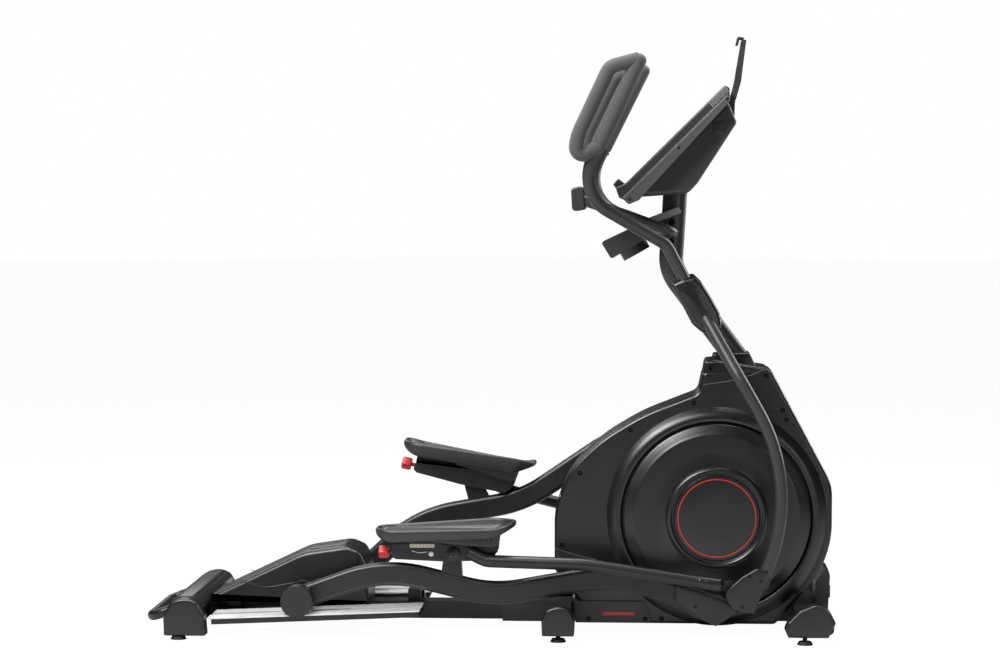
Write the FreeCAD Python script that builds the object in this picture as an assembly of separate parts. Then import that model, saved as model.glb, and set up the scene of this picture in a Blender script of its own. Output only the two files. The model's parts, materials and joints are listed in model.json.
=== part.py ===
import FreeCAD, Part
import math
import os

# Elliptical trainer with a rear incline ramp.  +X runs towards the shroud at the front, +Y to the
# machine's left, +Z up, millimetres.  The origin is on the floor, at the centre of the footprint.
# Everything that a side has twice is drawn once, on the left, and mirrored for the right.

Vector = FreeCAD.Vector

# ------------------------------------------------------------------ driving dimensions
half_length = 1048.0        # origin to the shroud's nose, and to the rear lift handle
cap_end = 330.0             # half width over the stabiliser end caps
play = 0.1                  # radial clearance of a shaft in its hole
gap = 0.5                   # clearance between covers that meet
step = 1.0                  # axial clearance between parts that turn past each other

crank_x = 696.6             # crank centre
crank_z = 358.6
crank_radius = 258.0
crank_lag = 2.6             # degrees that the right pin stands behind straight down
axle_radius = 12.5          # crank axle and swing axle
disc_radius = 284.0         # turning cover disc
ring_radius = 325.0         # raised ring on the shroud around the disc
hub_radius = 154.0          # round cap in the middle of the disc
pin_radius = 12.0

shroud_half = 110.0         # half thickness of the shroud
shroud_edge = 12.0          # rounding of the shroud's edges
stand_side = 20.0 - shroud_half     # right face of the flywheel's stand, inside the shroud
wall = 3.0                  # plastic covers
tube_wall = 2.5             # steel tubes
ring_height = 8.0

beam_half = 40.0
beam_low = 27.0
beam_high = 80.0
sleeve_rear = 39.0          # plastic sleeve round the main beam
sleeve_front = 183.0
rear_beam_x = -905.0        # centres of the three stabilisers
middle_beam_x = 220.0
front_beam_x = 965.0

mast_length = 74.0          # oval section of the mast
mast_width = 54.0
swing_x = 634.5             # pivot of the swing arms
swing_z = 1010.5
swing_reach = (144.2, -856.2)    # pivot to the lower joint
bar_radius = 19.0           # swing arm and connecting tube
loop_radius = 16.0          # grip loop
hub_inner = 104.0           # swing hub, from the middle plane
hub_outer = 150.0

hinge_x = -850.0            # ramp hinge
hinge_z = 50.0
ramp_slope = 2.5            # degrees at rest
ramp_length = 650.0
rail_height = 16.0
rail_width = 70.0
track_thick = 4.0
track_above = 9.4           # track surface above the hinge axis
inner_track = 153.0         # centres of the two tracks of a side
outer_track = 247.0
wheel_radius = 40.0
wheel_width = 34.0

arm_length = 1255.0         # roller axle to crank pin
arm_plane = 200.0
arm_height = 70.0
arm_width = 40.0
post_reach = (470.0, 146.0) # roller axle to the pedal pivot, along and square to the arm
pedal_pin_radius = 10.0

tube_plane = 255.0
joint_reach = (878.7, -99.3)     # pedal pivot to the lower joint
cheek_inner = 171.0         # pedal bracket's two cheeks
cheek_outer = 229.0
cheek_thick = 5.0
ankle = (120.0, 30.0)       # footplate hinge from the pedal pivot
plate_inner = 124.0
plate_outer = 284.0
knob_radius = 15.0
knob_level = 1.0            # knob's axis above the pedal pivot

console_half = 205.0
housing_half = 150.0

flywheel_x = 420.0
flywheel_z = 345.0
flywheel_radius = 130.0
pulley_radius = 120.0
small_pulley_radius = 22.0
belt_thick = 4.0
belt_clear = 0.3
belt_low = 20.0             # the belt's plane
belt_high = 36.0
idler_radius = 18.0


# ------------------------------------------------------------------ helpers
def box(x0, x1, y0, y1, z0, z1):
    return Part.makeBox(x1 - x0, y1 - y0, z1 - z0, Vector(x0, y0, z0))


def across(x, z, radius, y0, y1):
    """A round bar along Y."""
    return Part.makeCylinder(radius, y1 - y0, Vector(x, y0, z), Vector(0, 1, 0))


def ring(x, z, outer, inner, y0, y1):
    """A round tube along Y."""
    return across(x, z, outer, y0, y1).cut(across(x, z, inner, y0 - 1, y1 + 1))


def upright(x, y, radius, z0, z1):
    return Part.makeCylinder(radius, z1 - z0, Vector(x, y, z0))


def bend(before, corner, after, radius):
    """Start, middle and end of the arc that rounds a corner of a path."""
    into = (corner - before).normalize()
    out = (after - corner).normalize()
    turn = into.getAngle(out)
    reach = radius * math.tan(turn / 2)
    inward = (out - into).normalize()
    middle = corner + inward * (radius / math.cos(turn / 2) - radius)
    return corner - into * reach, middle, corner + out * reach


def path(corners, closed=False):
    """Straight runs joined by tangent arcs.  A corner is a point and the radius of its arc."""
    points = [Vector(*point) for point, radius in corners]
    count = len(points)
    stops = []
    for index, (point, radius) in enumerate(corners):
        if radius and (closed or 0 < index < count - 1):
            stops.append(bend(points[index - 1], points[index], points[(index + 1) % count], radius))
        else:
            stops.append((points[index],))
    edges = []
    for index, stop in enumerate(stops):
        if len(stop) == 3:
            edges.append(Part.Arc(*stop).toShape())
        if index < count - 1 or closed:
            following = stops[(index + 1) % count][0]
            if stop[-1].distanceToPoint(following) > 0.01:
                edges.append(Part.LineSegment(stop[-1], following).toShape())
    return Part.Wire(Part.__sortEdges__(edges))


def face(corners, y):
    """A flat face in the XZ plane at y, from corners (x, z, radius)."""
    return Part.Face(path([((x, y, z), radius) for x, z, radius in corners], closed=True))


def slab(corners, y0, y1):
    """An XZ outline with rounded corners, extruded along Y."""
    return face(corners, y0).extrude(Vector(0, y1 - y0, 0))


def grown(corners, amount, y0, y1):
    """The same outline, larger (or smaller) all round."""
    wire = face(corners, y0).OuterWire.makeOffset2D(amount, 2 if amount > 0 else 0)
    return Part.Face(wire).extrude(Vector(0, y1 - y0, 0))


def sweep(corners, profile):
    return path(corners).makePipeShell([profile], True, False)


def rod(corners, radius):
    """A solid round bar along a bent path."""
    start = Vector(*corners[0][0])
    along = Vector(*corners[1][0]) - start
    return sweep(corners, Part.Wire(Part.makeCircle(radius, start, along)))


def tube(corners, radius):
    return rod(corners, radius).cut(rod(corners, radius - tube_wall))


def rounded_edges(shape, radius, wanted):
    """Round the edges that the test picks."""
    edges = [edge for edge in shape.Edges if wanted(edge)]
    return shape.makeFillet(radius, edges)


def join(first, *others):
    return first.fuse(list(others)).removeSplitter()


def mirrored(shape):
    return shape.mirror(Vector(0, 0, 0), Vector(0, 1, 0))


def both(shape):
    """The shape and its mirror image, as two solids."""
    return Part.makeCompound([shape, mirrored(shape)])


def placed(shape, spot, angle):
    """A shape drawn about its own pivot, turned nose up by the angle in degrees and moved."""
    copy = shape.copy()
    copy.rotate(Vector(0, 0, 0), Vector(0, 1, 0), -angle)
    copy.translate(Vector(spot[0], 0, spot[1]))
    return copy


def write(name, shape):
    shape.exportStep(f"parts/{name}.step")


# ------------------------------------------------------------------ the linkage at rest
def polar(reach):
    return math.hypot(*reach), math.degrees(math.atan2(reach[1], reach[0]))


def carried(spot, reach, angle):
    """Where a point fixed to a turned part stands."""
    cosine, sine = math.cos(math.radians(angle)), math.sin(math.radians(angle))
    return (spot[0] + reach[0] * cosine - reach[1] * sine,
            spot[1] + reach[0] * sine + reach[1] * cosine)


def on_ramp(along, height):
    """A point of the ramp, measured from its hinge."""
    return carried((hinge_x, hinge_z), (along, height), ramp_slope)


def roller_place(pin):
    """The roller axle that stands on the track, one arm's length behind the crank pin."""
    along, height = carried((0, 0), (pin[0] - hinge_x, pin[1] - hinge_z), -ramp_slope)
    level = track_above + wheel_radius
    return on_ramp(along - math.sqrt(arm_length ** 2 - (height - level) ** 2), level)


def meet(first, radius, second, other):
    """The forward crossing of two circles."""
    distance = math.dist(first, second)
    along = (radius ** 2 - other ** 2 + distance ** 2) / (2 * distance)
    square = math.sqrt(radius ** 2 - along ** 2)
    heading = math.degrees(math.atan2(second[1] - first[1], second[0] - first[0]))
    return carried(first, (along, -square), heading)


def linkage(pin):
    """Places and angles of a side's moving parts for a crank pin."""
    roller = roller_place(pin)
    arm_angle = math.degrees(math.atan2(pin[1] - roller[1], pin[0] - roller[0]))
    post = carried(roller, post_reach, arm_angle)
    reach, reach_angle = polar(joint_reach)
    swing, swing_rest = polar(swing_reach)
    joint = meet(post, reach, (swing_x, swing_z), swing)
    carrier_angle = math.degrees(math.atan2(joint[1] - post[1], joint[0] - post[0])) - reach_angle
    swing_angle = math.degrees(math.atan2(joint[1] - swing_z, joint[0] - swing_x)) - swing_rest
    return {"pin": pin, "roller": roller, "arm": arm_angle, "post": post, "joint": joint,
            "carrier": carrier_angle, "swing": swing_angle,
            "ankle": carried(post, ankle, carrier_angle)}


lag = math.radians(crank_lag)
crank_step = (crank_radius * math.sin(lag), crank_radius * math.cos(lag))
sides = {"right": linkage((crank_x - crank_step[0], crank_z - crank_step[1])),
         "left": linkage((crank_x + crank_step[0], crank_z + crank_step[1]))}


def on_side(side, shape):
    return mirrored(shape) if side == "right" else shape


# ------------------------------------------------------------------ main frame
mast_path = [((570, 0, 1362), 0), ((555, 0, 1108), 120), ((800, 0, 782), 200), ((900, 0, beam_high), 0)]
crank_housing = 30.0        # bottom bracket shell
bearing_radius = 24.0


def oval(length, width, end, along):
    """An oval section wire at the end of a path that lies in the XZ plane."""
    wire = Part.Wire(Part.Ellipse(Vector(0, 0, 0), length / 2, width / 2).toShape())
    heading = math.degrees(math.atan2(along[0], -along[1]))
    wire.rotate(Vector(0, 0, 0), Vector(0, 1, 0), -heading)
    wire.translate(Vector(end[0], end[1], end[2]))
    return wire


def mast_sweep(extra):
    top, after = mast_path[0][0], mast_path[1][0]
    section = oval(mast_length + 2 * extra, mast_width + 2 * extra, top,
                   (after[0] - top[0], after[2] - top[2]))
    return sweep(mast_path, section)


def main_frame():
    beam = box(rear_beam_x + 35, front_beam_x - 35, -beam_half, beam_half, beam_low, beam_high)
    hollow = box(rear_beam_x + 34, front_beam_x - 34, tube_wall - beam_half, beam_half - tube_wall,
                 beam_low + tube_wall, beam_high - tube_wall)
    beam = beam.cut(hollow)
    post = box(crank_x - 25, crank_x + 25, -40, 0, beam_high, crank_z)
    post = post.cut(box(crank_x - 22, crank_x + 22, -37, -3, beam_high, crank_z))
    housing = across(crank_x, crank_z, crank_housing, -60, 12)
    bore = across(crank_x, crank_z, bearing_radius, -61, 13)
    crank_post = join(post, housing).cut(bore)
    stand = []
    for low, high in ((stand_side, stand_side + 6), (46, 52)):
        plate = slab([(395, beam_high, 0), (445, beam_high, 0), (440, flywheel_z + 22, 20),
                      (400, flywheel_z + 22, 20)], low, high)
        plate = plate.cut(across(flywheel_x, flywheel_z, axle_radius, low - 1, high + 1))
        stand.append(plate)
    foot = box(390, 450, stand_side - 2, 54, beam_high, beam_high + 5)
    stands = join(foot, *stand)
    ear = slab([(rear_beam_x + 35, 34, 0), (hinge_x + 12, hinge_z - 12, 10), (hinge_x + 12, hinge_z + 12, 10),
                (rear_beam_x + 35, 92, 0)], 48, 56)
    hinges = both(join(ear, across(hinge_x, hinge_z, 8, 48, 76)))
    handle = lift_handle().cut(box(rear_beam_x - 35, rear_beam_x + 35, -250, 250, 0, 200))
    handle = handle.cut(box(rear_beam_x - 60, rear_beam_x, -250, 250, 92, 120))
    return Part.makeCompound([beam, crank_post, stands, hinges, handle])


def lift_handle():
    """The bent tube behind the rear stabiliser."""
    outer = 16.0
    far = -half_length + outer
    corners = [((rear_beam_x - 35, 190, 80), 0), ((far, 190, 48), 40), ((far, -190, 48), 40),
               ((rear_beam_x - 35, -190, 80), 0)]
    return tube(corners, outer)


front_wheel = (1024.0, 42.0)


def stabilizer_tube(x, half_span, low, high, split):
    """A box tube across the machine, or two halves that stop at the main beam."""
    outer = box(x - 35, x + 35, -half_span, half_span, low, high)
    inner = box(x - 35 + tube_wall, x + 35 - tube_wall, -half_span - 1, half_span + 1,
                low + tube_wall, high - tube_wall)
    bar = outer.cut(inner)
    if split:
        bar = bar.cut(box(x - 36, x + 36, -beam_half, beam_half, low - 1, high + 1))
    return bar


def wheel_bracket():
    x, z = front_wheel
    lug = slab([(front_beam_x + 35, z, 0), (x - 8, z - 9, 6), (x + 10, z - 8, 8), (x + 10, z + 10, 8),
                (front_beam_x + 35, z + 40, 0)], 246, 252)
    stub = across(x, z, 7, 252, 285)
    head = across(x, z, 11, 281, 285)
    return join(lug, stub, head)


def stabilizer_beams():
    rear = stabilizer_tube(rear_beam_x, 296, 34, 92, False)
    middle = stabilizer_tube(middle_beam_x, 290, 48, 98, True)
    front = stabilizer_tube(front_beam_x, 296, 40, 90, False)
    return Part.makeCompound([rear, middle, front, both(wheel_bracket())])


def end_cap(x, inner, low, high, half, slope, tube_low, tube_high):
    """A boxy cap with an arched top, over the end of a stabiliser tube."""
    outline = [(x - half, low, 6), (x - half, high - slope, 14), (x - half * 0.45, high, 22),
               (x + half * 0.45, high, 22), (x + half, high - slope, 14), (x + half, low, 6)]
    cap = slab(outline, inner, cap_end)
    pocket = box(x - 35 - play, x + 35 + play, inner - 1, inner + 30, tube_low - play, tube_high + play)
    return cap.cut(pocket)


def stabilizer_covers():
    """End caps of the three stabilisers and the half-round cover along the rear one."""
    rear = end_cap(rear_beam_x, 284, 12, 128, 62, 48, 34, 92)
    middle = end_cap(middle_beam_x, 278, 20, 107, 40, 10, 48, 98)
    middle = middle.cut(box(middle_beam_x - 60, middle_beam_x + 60, 315, 400, 0, 200))
    outline = [(front_beam_x - 62, 24, 10), (front_beam_x - 66, 62, 10), (front_beam_x - 30, 108, 25),
               (front_beam_x + 20, 120, 25), (front_beam_x + 60, 92, 25), (half_length, 62, 6),
               (front_beam_x + 56, 24, 10)]
    front = slab(outline, 286, cap_end)
    front = front.cut(box(front_beam_x - 35 - play, front_beam_x + 35 + play, 285, 297, 40 - play, 90 + play))
    arch = [(rear_beam_x - 58, 93, 0), (rear_beam_x - 46, 112, 16), (rear_beam_x - 18, 126, 20),
            (rear_beam_x + 18, 126, 20), (rear_beam_x + 46, 112, 16), (rear_beam_x + 52, 96, 0)]
    cover = slab(arch, -283, 283)
    cover = cover.cut(box(rear_beam_x - 42, rear_beam_x + 42, -280, 280, 92 - 1, 110))
    return Part.makeCompound([both(rear), both(middle), both(front), cover])


def leveling_feet():
    """Rubber pads on threaded stems, six in all."""
    feet = []
    for x, y, height in ((rear_beam_x - 20, 306, 12), (middle_beam_x, 296, 20), (front_beam_x - 10, 308, 24)):
        pad = Part.makeCone(24, 19, 10, Vector(x, y, 0))
        stem = upright(x, y, 7, 10, height)
        feet.append(both(join(pad, stem)))
    return Part.makeCompound(feet)


def console_mast():
    """The oval mast, with the axle of the swing arms through it."""
    shell = mast_sweep(0).cut(mast_sweep(-tube_wall))
    axle = across(swing_x, swing_z, axle_radius, -hub_outer - 10, hub_outer + 10)
    collar = ring(swing_x, swing_z, 24, axle_radius - 1, 20, hub_inner - step)
    inside = mast_sweep(-1)
    sleeve = collar.cut(inside)
    shell = shell.cut(across(swing_x, swing_z, axle_radius - 1, -60, 60))
    shell = shell.cut(box(800, 1000, -60, 60, 0, beam_high))
    shell = shell.cut(box(front_beam_x - 35, 1000, -60, 60, 0, 100))
    return join(shell, axle, sleeve, mirrored(sleeve))


# ------------------------------------------------------------------ shroud and covers
shroud_outline = [(202, 190, 40), (202, 385, 250), (250, 500, 250), (345, 592, 500), (470, 668, 600),
                  (641, 735, 30), (655, 800, 15), (861, 807, 18), (half_length, 457, 150),
                  (half_length, 226, 300), (half_length - 172, beam_low, 20), (330, beam_low, 30)]
collar_outline = [(652, 806, 0), (662, 837, 8), (687, 853, 10), (799, 855, 10), (840, 809, 0)]


def shroud_half_shell():
    """The left half of the shroud, with the raised ring and its openings."""
    body = slab(shroud_outline, gap / 2, shroud_half)
    body = rounded_edges(body, shroud_edge, lambda edge: edge.BoundBox.YMin > shroud_half - 0.01)
    hollow = grown(shroud_outline, -wall, -1, shroud_half - wall)
    raised = ring(crank_x, crank_z, ring_radius, disc_radius + 4, shroud_half - 1, shroud_half + ring_height)
    shell = body.cut(hollow).fuse(raised)
    shell = shell.cut(across(crank_x, crank_z, 40, shroud_half - 10, shroud_half + 10))
    beam_hole = box(0, 2000, -beam_half - 2, beam_half + 2, beam_low - 2, beam_high + 2)
    front_hole = box(front_beam_x - 37, front_beam_x + 37, -200, 200, 38, 92)
    return shell.cut(beam_hole).cut(front_hole).cut(mast_sweep(2)).removeSplitter()


def shroud_collar():
    collar = slab(collar_outline, -78, 78)
    collar = rounded_edges(collar, 6, lambda edge: abs(abs(edge.CenterOfMass.y) - 78) < 0.01
                           and edge.CenterOfMass.z > 815)
    return collar.cut(mast_sweep(2))


def base_covers():
    """Two side strips low on the shroud and the box over the front end of the beam."""
    strip = slab([(266, 30, 6), (262, 96, 10), (478, 96, 10), (500, 30, 6)],
                 shroud_half + gap, shroud_half + 8)
    front = slab([(front_beam_x + 36, 62, 0), (front_beam_x + 36, 150, 10),
                  (half_length - 12, 205, 6), (half_length - 2, 172, 10), (half_length - 8, 62, 0)], -60, 60)
    front = front.cut(grown(shroud_outline, gap, -80, 80))
    front = front.cut(inlet_block(play, 14, half_length - 38, half_length + 2))
    front = front.cut(inlet_block(play, 18, half_length - 7 - play, half_length + 2))
    sleeve = box(sleeve_rear, sleeve_front, -beam_half - 5, beam_half + 5, beam_low - 6, beam_high + 4)
    sleeve = sleeve.cut(box(sleeve_rear - 1, sleeve_front + 1, -beam_half - gap, beam_half + gap,
                            beam_low - gap, beam_high + gap))
    return Part.makeCompound([both(strip), front, sleeve])


def cover_screws():
    """Round screw heads on both faces of the shroud."""
    places = [(675, 786), (840, 778), (627, 705), (434, 621), (280, 488), (226, 268),
              (895, 683), (1000, 488), (1010, 264), (940, 130), (530, 16 + beam_low)]
    heads = [across(x, z, 5, shroud_half + 0.2, shroud_half + 2.2) for x, z in places
             if math.hypot(x - crank_x, z - crank_z) > ring_radius + 6]
    return Part.makeCompound([both(head) for head in heads])


# ------------------------------------------------------------------ drive
def crank_bearings():
    """Two ball bearings in the bottom bracket, and the flywheel's fixed axle."""
    rings = [ring(crank_x, crank_z, bearing_radius, axle_radius + play, y, y + 12) for y in (-58, -2)]
    axle = across(flywheel_x, flywheel_z, axle_radius - play, stand_side - 2, 54)
    return Part.makeCompound(rings + [axle])


def crank_axle():
    return across(crank_x, crank_z, axle_radius, -146, 146)


def crank_pulley():
    wheel = ring(crank_x, crank_z, pulley_radius, axle_radius, belt_low, belt_high)
    groove = ring(crank_x, crank_z, pulley_radius - 15, 35, belt_low - 1, belt_low + 5)
    return wheel.cut(groove)


def crank_arm():
    """One crank arm with its pin, drawn pointing straight up on the left."""
    tip = crank_radius + 18
    arm = slab([(-30, -30, 28), (-24, tip, 22), (24, tip, 22), (30, -30, 28)],
               121, 137)
    arm = arm.cut(across(0, 0, axle_radius, 120, 138))
    pin = across(0, crank_radius, pin_radius, 130, 179 - step)
    collar = across(0, crank_radius, 19, 137, 158)
    return join(arm, pin, collar)


def crank_disc():
    """A shallow round cover that turns with the crank."""
    rim = across(0, 0, disc_radius, 112, 137)
    cone = Part.makeCone(disc_radius, 254, 12, Vector(0, 137, 0), Vector(0, 1, 0))
    inner = across(0, 0, disc_radius - wall, 111, 137)
    inner_cone = Part.makeCone(disc_radius - wall, 254 - wall, 12 - wall, Vector(0, 137, 0), Vector(0, 1, 0))
    cover = rim.fuse(cone).cut(inner.fuse(inner_cone))
    hub = ring(0, 0, hub_radius, hub_radius - wall, 149, 166)
    cap = across(0, 0, hub_radius, 163, 166)
    dome = Part.makeCone(hub_radius - 4, hub_radius - 24, 4, Vector(0, 166, 0), Vector(0, 1, 0))
    hole = across(0, crank_radius, 19 + gap, 111, 170)
    return join(cover, hub, cap, dome).cut(hole)


def on_crank(shape):
    """The left piece in its place and its partner, half a turn on, at the right."""
    left = shape.copy()
    left.rotate(Vector(0, 0, 0), Vector(0, 1, 0), crank_lag)
    right = mirrored(shape)
    right.rotate(Vector(0, 0, 0), Vector(0, 1, 0), 180 + crank_lag)
    pair = [left, right]
    for piece in pair:
        piece.translate(Vector(crank_x, 0, crank_z))
    return Part.makeCompound(pair)


def flywheel():
    """Heavy rim, thin web and the small belt pulley."""
    low, high = -66, -36
    rim = ring(flywheel_x, flywheel_z, flywheel_radius, flywheel_radius - 30, low, high)
    web = ring(flywheel_x, flywheel_z, flywheel_radius - 29, axle_radius, low + 10, high - 10)
    hub = ring(flywheel_x, flywheel_z, small_pulley_radius, axle_radius, low - 10, belt_high + 4)
    return join(rim, web, hub)


def belt_line(extra):
    """The closed line of the belt round both pulleys, so far outside them."""
    first, second = (crank_x, crank_z), (flywheel_x, flywheel_z)
    big, small = pulley_radius + extra, small_pulley_radius + extra
    distance = math.dist(first, second)
    heading = math.atan2(second[1] - first[1], second[0] - first[0])
    lean = math.acos((big - small) / distance)

    def rim(centre, radius, angle):
        return Vector(centre[0] + radius * math.cos(angle), 0, centre[1] + radius * math.sin(angle))

    first_top, first_low = rim(first, big, heading - lean), rim(first, big, heading + lean)
    second_top, second_low = rim(second, small, heading - lean), rim(second, small, heading + lean)
    edges = [Part.Arc(first_low, rim(first, big, heading + math.pi), first_top).toShape(),
             Part.LineSegment(first_top, second_top).toShape(),
             Part.Arc(second_top, rim(second, small, heading), second_low).toShape(),
             Part.LineSegment(second_low, first_low).toShape()]
    return Part.Wire(Part.__sortEdges__(edges)), (first_low + second_low) * 0.5, heading + lean


def drive_belt():
    outer = Part.Face(belt_line(belt_clear + belt_thick)[0])
    inner = Part.Face(belt_line(belt_clear)[0])
    belt = outer.cut(inner).extrude(Vector(0, belt_high - belt_low, 0))
    belt.translate(Vector(0, belt_low, 0))
    return belt


def idler_place():
    line, middle, angle = belt_line(belt_clear * 2 + belt_thick + idler_radius)
    return middle.x, middle.z


def idler_pulley():
    x, z = idler_place()
    return ring(x, z, idler_radius, 5 + play, belt_low, belt_high)


def idler_bracket():
    x, z = idler_place()
    pin = across(x, z, 5, belt_low - 8, belt_high + 2)
    arm = slab([(x - 8, z - 8, 7), (x - 8, z + 10, 7), (x + 8, z + 10, 7), (x + 8, z - 8, 7)], 8, belt_low - step)
    post = box(x - 8, x + 8, 8, belt_low - step, beam_high, z)
    return join(post, arm, pin)


def brake_magnet():
    """A curved magnet bracket over the flywheel's rim, hinged at its end."""
    outer = ring(flywheel_x, flywheel_z, flywheel_radius + 18, flywheel_radius + 4, -64, -38)
    corners = [(0, 0, 0)] + [(*carried((0, 0), (300, 0), angle), 0) for angle in (105, 145, 185, 221)]
    sector = face(corners, -90)
    sector.translate(Vector(flywheel_x, 0, flywheel_z))
    arc = outer.common(sector.extrude(Vector(0, 100, 0)))
    eye = across(brake_pivot[0], brake_pivot[1], 10, -64, -38)
    return join(arc, eye).cut(across(brake_pivot[0], brake_pivot[1], 4 + play, -70, -30))


brake_pivot = carried((flywheel_x, flywheel_z), (flywheel_radius + 20, 0), 222)


def brake_stand():
    """The fixed post that carries the magnet bracket's hinge pin."""
    x, z = brake_pivot
    post = box(x - 10, x + 10, -78, -66, beam_high, z + 10)
    foot = box(x - 10, x + 10, -78, 0, beam_high, beam_high + 5)
    pin = across(x, z, 4, -70, -36)
    return join(post, foot, pin)


# ------------------------------------------------------------------ ramp
def ramp_piece(shape):
    """A shape drawn flat, with the hinge at its origin, tilted and moved onto the machine."""
    return placed(shape, (hinge_x, hinge_z), ramp_slope)


hat_places = (40.0, 330.0, 600.0)


def ramp_rails():
    """Four box rails, and the bridges over the main beam that join them."""
    top = track_above - track_thick
    pieces = []
    for centre in (inner_track, outer_track):
        rail = box(20, ramp_length, centre - rail_width / 2, centre + rail_width / 2, top - rail_height, top)
        core = box(19, ramp_length + 1, centre - rail_width / 2 + 2, centre + rail_width / 2 - 2,
                   top - rail_height + 2, top - 2)
        pieces.append(both(rail.cut(core)))
    for along in hat_places:
        height = beam_high + 5 - hinge_z
        plate = box(along, along + 40, -64, 64, height, height + 8)
        leg = box(along, along + 40, 56, 64, top - rail_height, height)
        foot = box(along, along + 40, 56, inner_track - rail_width / 2, top - rail_height, top)
        link = box(along, along + 40, inner_track + rail_width / 2, outer_track - rail_width / 2,
                   top - rail_height, top)
        hole = upright(along + 20, 0, 13, height - 1, height + 9)
        pieces.append(join(plate, leg, foot, mirrored(leg), mirrored(foot)).cut(hole))
        pieces.append(both(link))
    lug = slab([(0, -12, 11), (0, 12, 11), (40, 6, 0), (40, top - rail_height, 0)], 58, 70)
    lug = join(lug, across(0, 0, 13, 58, 70)).cut(across(0, 0, 8 + play, 57, 71))
    pieces.append(both(lug.cut(box(39.9, 100, 0, 100, -50, 50))))
    return ramp_piece(Part.makeCompound(pieces))


def track_plates():
    plates = []
    for centre in (inner_track, outer_track):
        plate = box(10, ramp_length + 2, centre - rail_width / 2, centre + rail_width / 2,
                    track_above - track_thick, track_above)
        plates.append(both(plate))
    return ramp_piece(Part.makeCompound(plates))


incline_outline = [(30, 14, 6), (32, 62, 10), (272, 168, 30), (418, 180, 14), (465, 148, 10),
                   (478, 118, 14), (484, 14, 6)]


def incline_cover():
    cover = slab(incline_outline, -112, 112)
    cover = rounded_edges(cover, 8, lambda edge: abs(abs(edge.CenterOfMass.y) - 112) < 0.01)
    hollow = grown(incline_outline, -wall, -112 + wall, 112 - wall)
    shell = cover.cut(hollow).cut(box(-50, 540, -105, 105, -20, 20))
    shell = shell.cut(box(-50, 540, -113, 113, -20, 14 + 6))
    beam_notch = box(0, 100, -beam_half - 4, beam_half + 4, 0, beam_high + 8 - hinge_z)
    return ramp_piece(shell.cut(beam_notch))


screw_along = hat_places[1] + 20


def incline_motor():
    """Geared motor on the middle bridge, around the lifting screw."""
    low = beam_high + 13 - hinge_z
    gearbox = box(screw_along - 32, screw_along + 32, -34, 34, low, low + 46)
    gearbox = gearbox.cut(upright(screw_along, 0, 10 + play, low - 1, low + 47))
    motor = Part.makeCylinder(28, 78, Vector(screw_along - 110, 0, low + 29), Vector(1, 0, 0))
    tower = upright(screw_along, 0, 17, low + 46, low + 82)
    tower = tower.cut(upright(screw_along, 0, 10 + play, low + 45, low + 83))
    return ramp_piece(join(gearbox, motor, tower))


def incline_screw():
    """The screw that stands on the main beam and lifts the ramp, with its ball foot."""
    start = beam_high + 2 - hinge_z - screw_along * math.sin(math.radians(ramp_slope))
    ball = Part.makeSphere(10, Vector(screw_along, 0, start + 10))
    stem = upright(screw_along, 0, 10, start + 10, start + 110)
    return ramp_piece(join(ball, stem))


# ------------------------------------------------------------------ pedal arms
def roller_axle():
    return across(0, 0, 8, 131, 282)


def rollers():
    """Two wheels on the axle, one for each track of the side."""
    wheels = []
    for centre in (inner_track, outer_track):
        low, high = centre - wheel_width / 2, centre + wheel_width / 2
        tyre = ring(0, 0, wheel_radius - 0.3, 8 + play, low, high)
        tyre = rounded_edges(tyre, 4, lambda edge: edge.BoundBox.XLength > 2 * wheel_radius - 2)
        wheels.append(tyre)
    return Part.makeCompound(wheels)


def roller_boot():
    """The round hoods over the wheels: a cheek on the axle inboard, a flat disc at the outer end."""
    floor = box(-60, 60, 129, 283, -60, -14)
    inner = join(ring(0, 0, 46, 43.2, 130, 175), across(0, 0, 46, 130, 133))
    inner = inner.cut(floor).cut(across(0, 0, 8 + play, 129, 134))
    outer = join(ring(0, 0, 46, 43.2, 225, 286), across(0, 0, 48, 284, 292)).cut(floor)
    return Part.makeCompound([inner, outer])


def pedal_arm():
    """Bent oval tube with the roller hub, the pedal post and the crank end housing."""
    corners = [((0, arm_plane, 0), 0), ((261, arm_plane, 95), 400), ((590, arm_plane, 17), 400),
               ((951, arm_plane, 86), 400), ((arm_length - 20, arm_plane, 5), 0)]
    heading = math.atan2(95, 261)
    section = path([((x * -math.sin(heading), arm_plane + y, x * math.cos(heading)), 14)
                    for x, y in ((-35, -20), (-35, 20), (35, 20), (35, -20))], closed=True)
    bar = sweep(corners, section)
    core_section = path([((x * -math.sin(heading), arm_plane + y, x * math.cos(heading)), 11)
                         for x, y in ((-32, -17), (-32, 17), (32, 17), (32, -17))], closed=True)
    core = sweep(corners, core_section)
    hub = across(0, 0, wheel_radius - 2, arm_plane - 20, arm_plane + 20)
    post = slab([(post_reach[0] - 42, 56, 0), (post_reach[0] - 32, post_reach[1] - 16, 20),
                 (post_reach[0] - 20, post_reach[1] + 20, 20), (post_reach[0] + 20, post_reach[1] + 20, 20),
                 (post_reach[0] + 28, 50, 0)], 186, 214)
    housing = slab([(arm_length - 120, 38, 14), (arm_length + 20, 34, 30), (arm_length + 74, -6, 12),
                    (arm_length + 30, -46, 12), (arm_length + 4, -58, 10), (arm_length - 60, -34, 12),
                    (arm_length - 108, 6, 14)], arm_plane - 20, arm_plane + 27)
    arm = bar.fuse([hub, post, housing]).cut(core.cut(across(0, 0, wheel_radius, 150, 250)).cut(
        box(arm_length - 125, 2000, 100, 300, -100, 100)))
    arm = arm.cut(across(0, 0, 8 + play, 150, 250))
    pivot = across(post_reach[0], post_reach[1], pedal_pin_radius + play, 150, 250)
    return arm.cut(pivot)


def pivot_pin():
    """The pedal pivot's pin with a round head outboard."""
    pin = across(0, 0, pedal_pin_radius, cheek_inner - 3, cheek_outer + 2)
    head = across(0, 0, 21, cheek_outer + gap, cheek_outer + 9)
    return join(pin, head)


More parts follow.
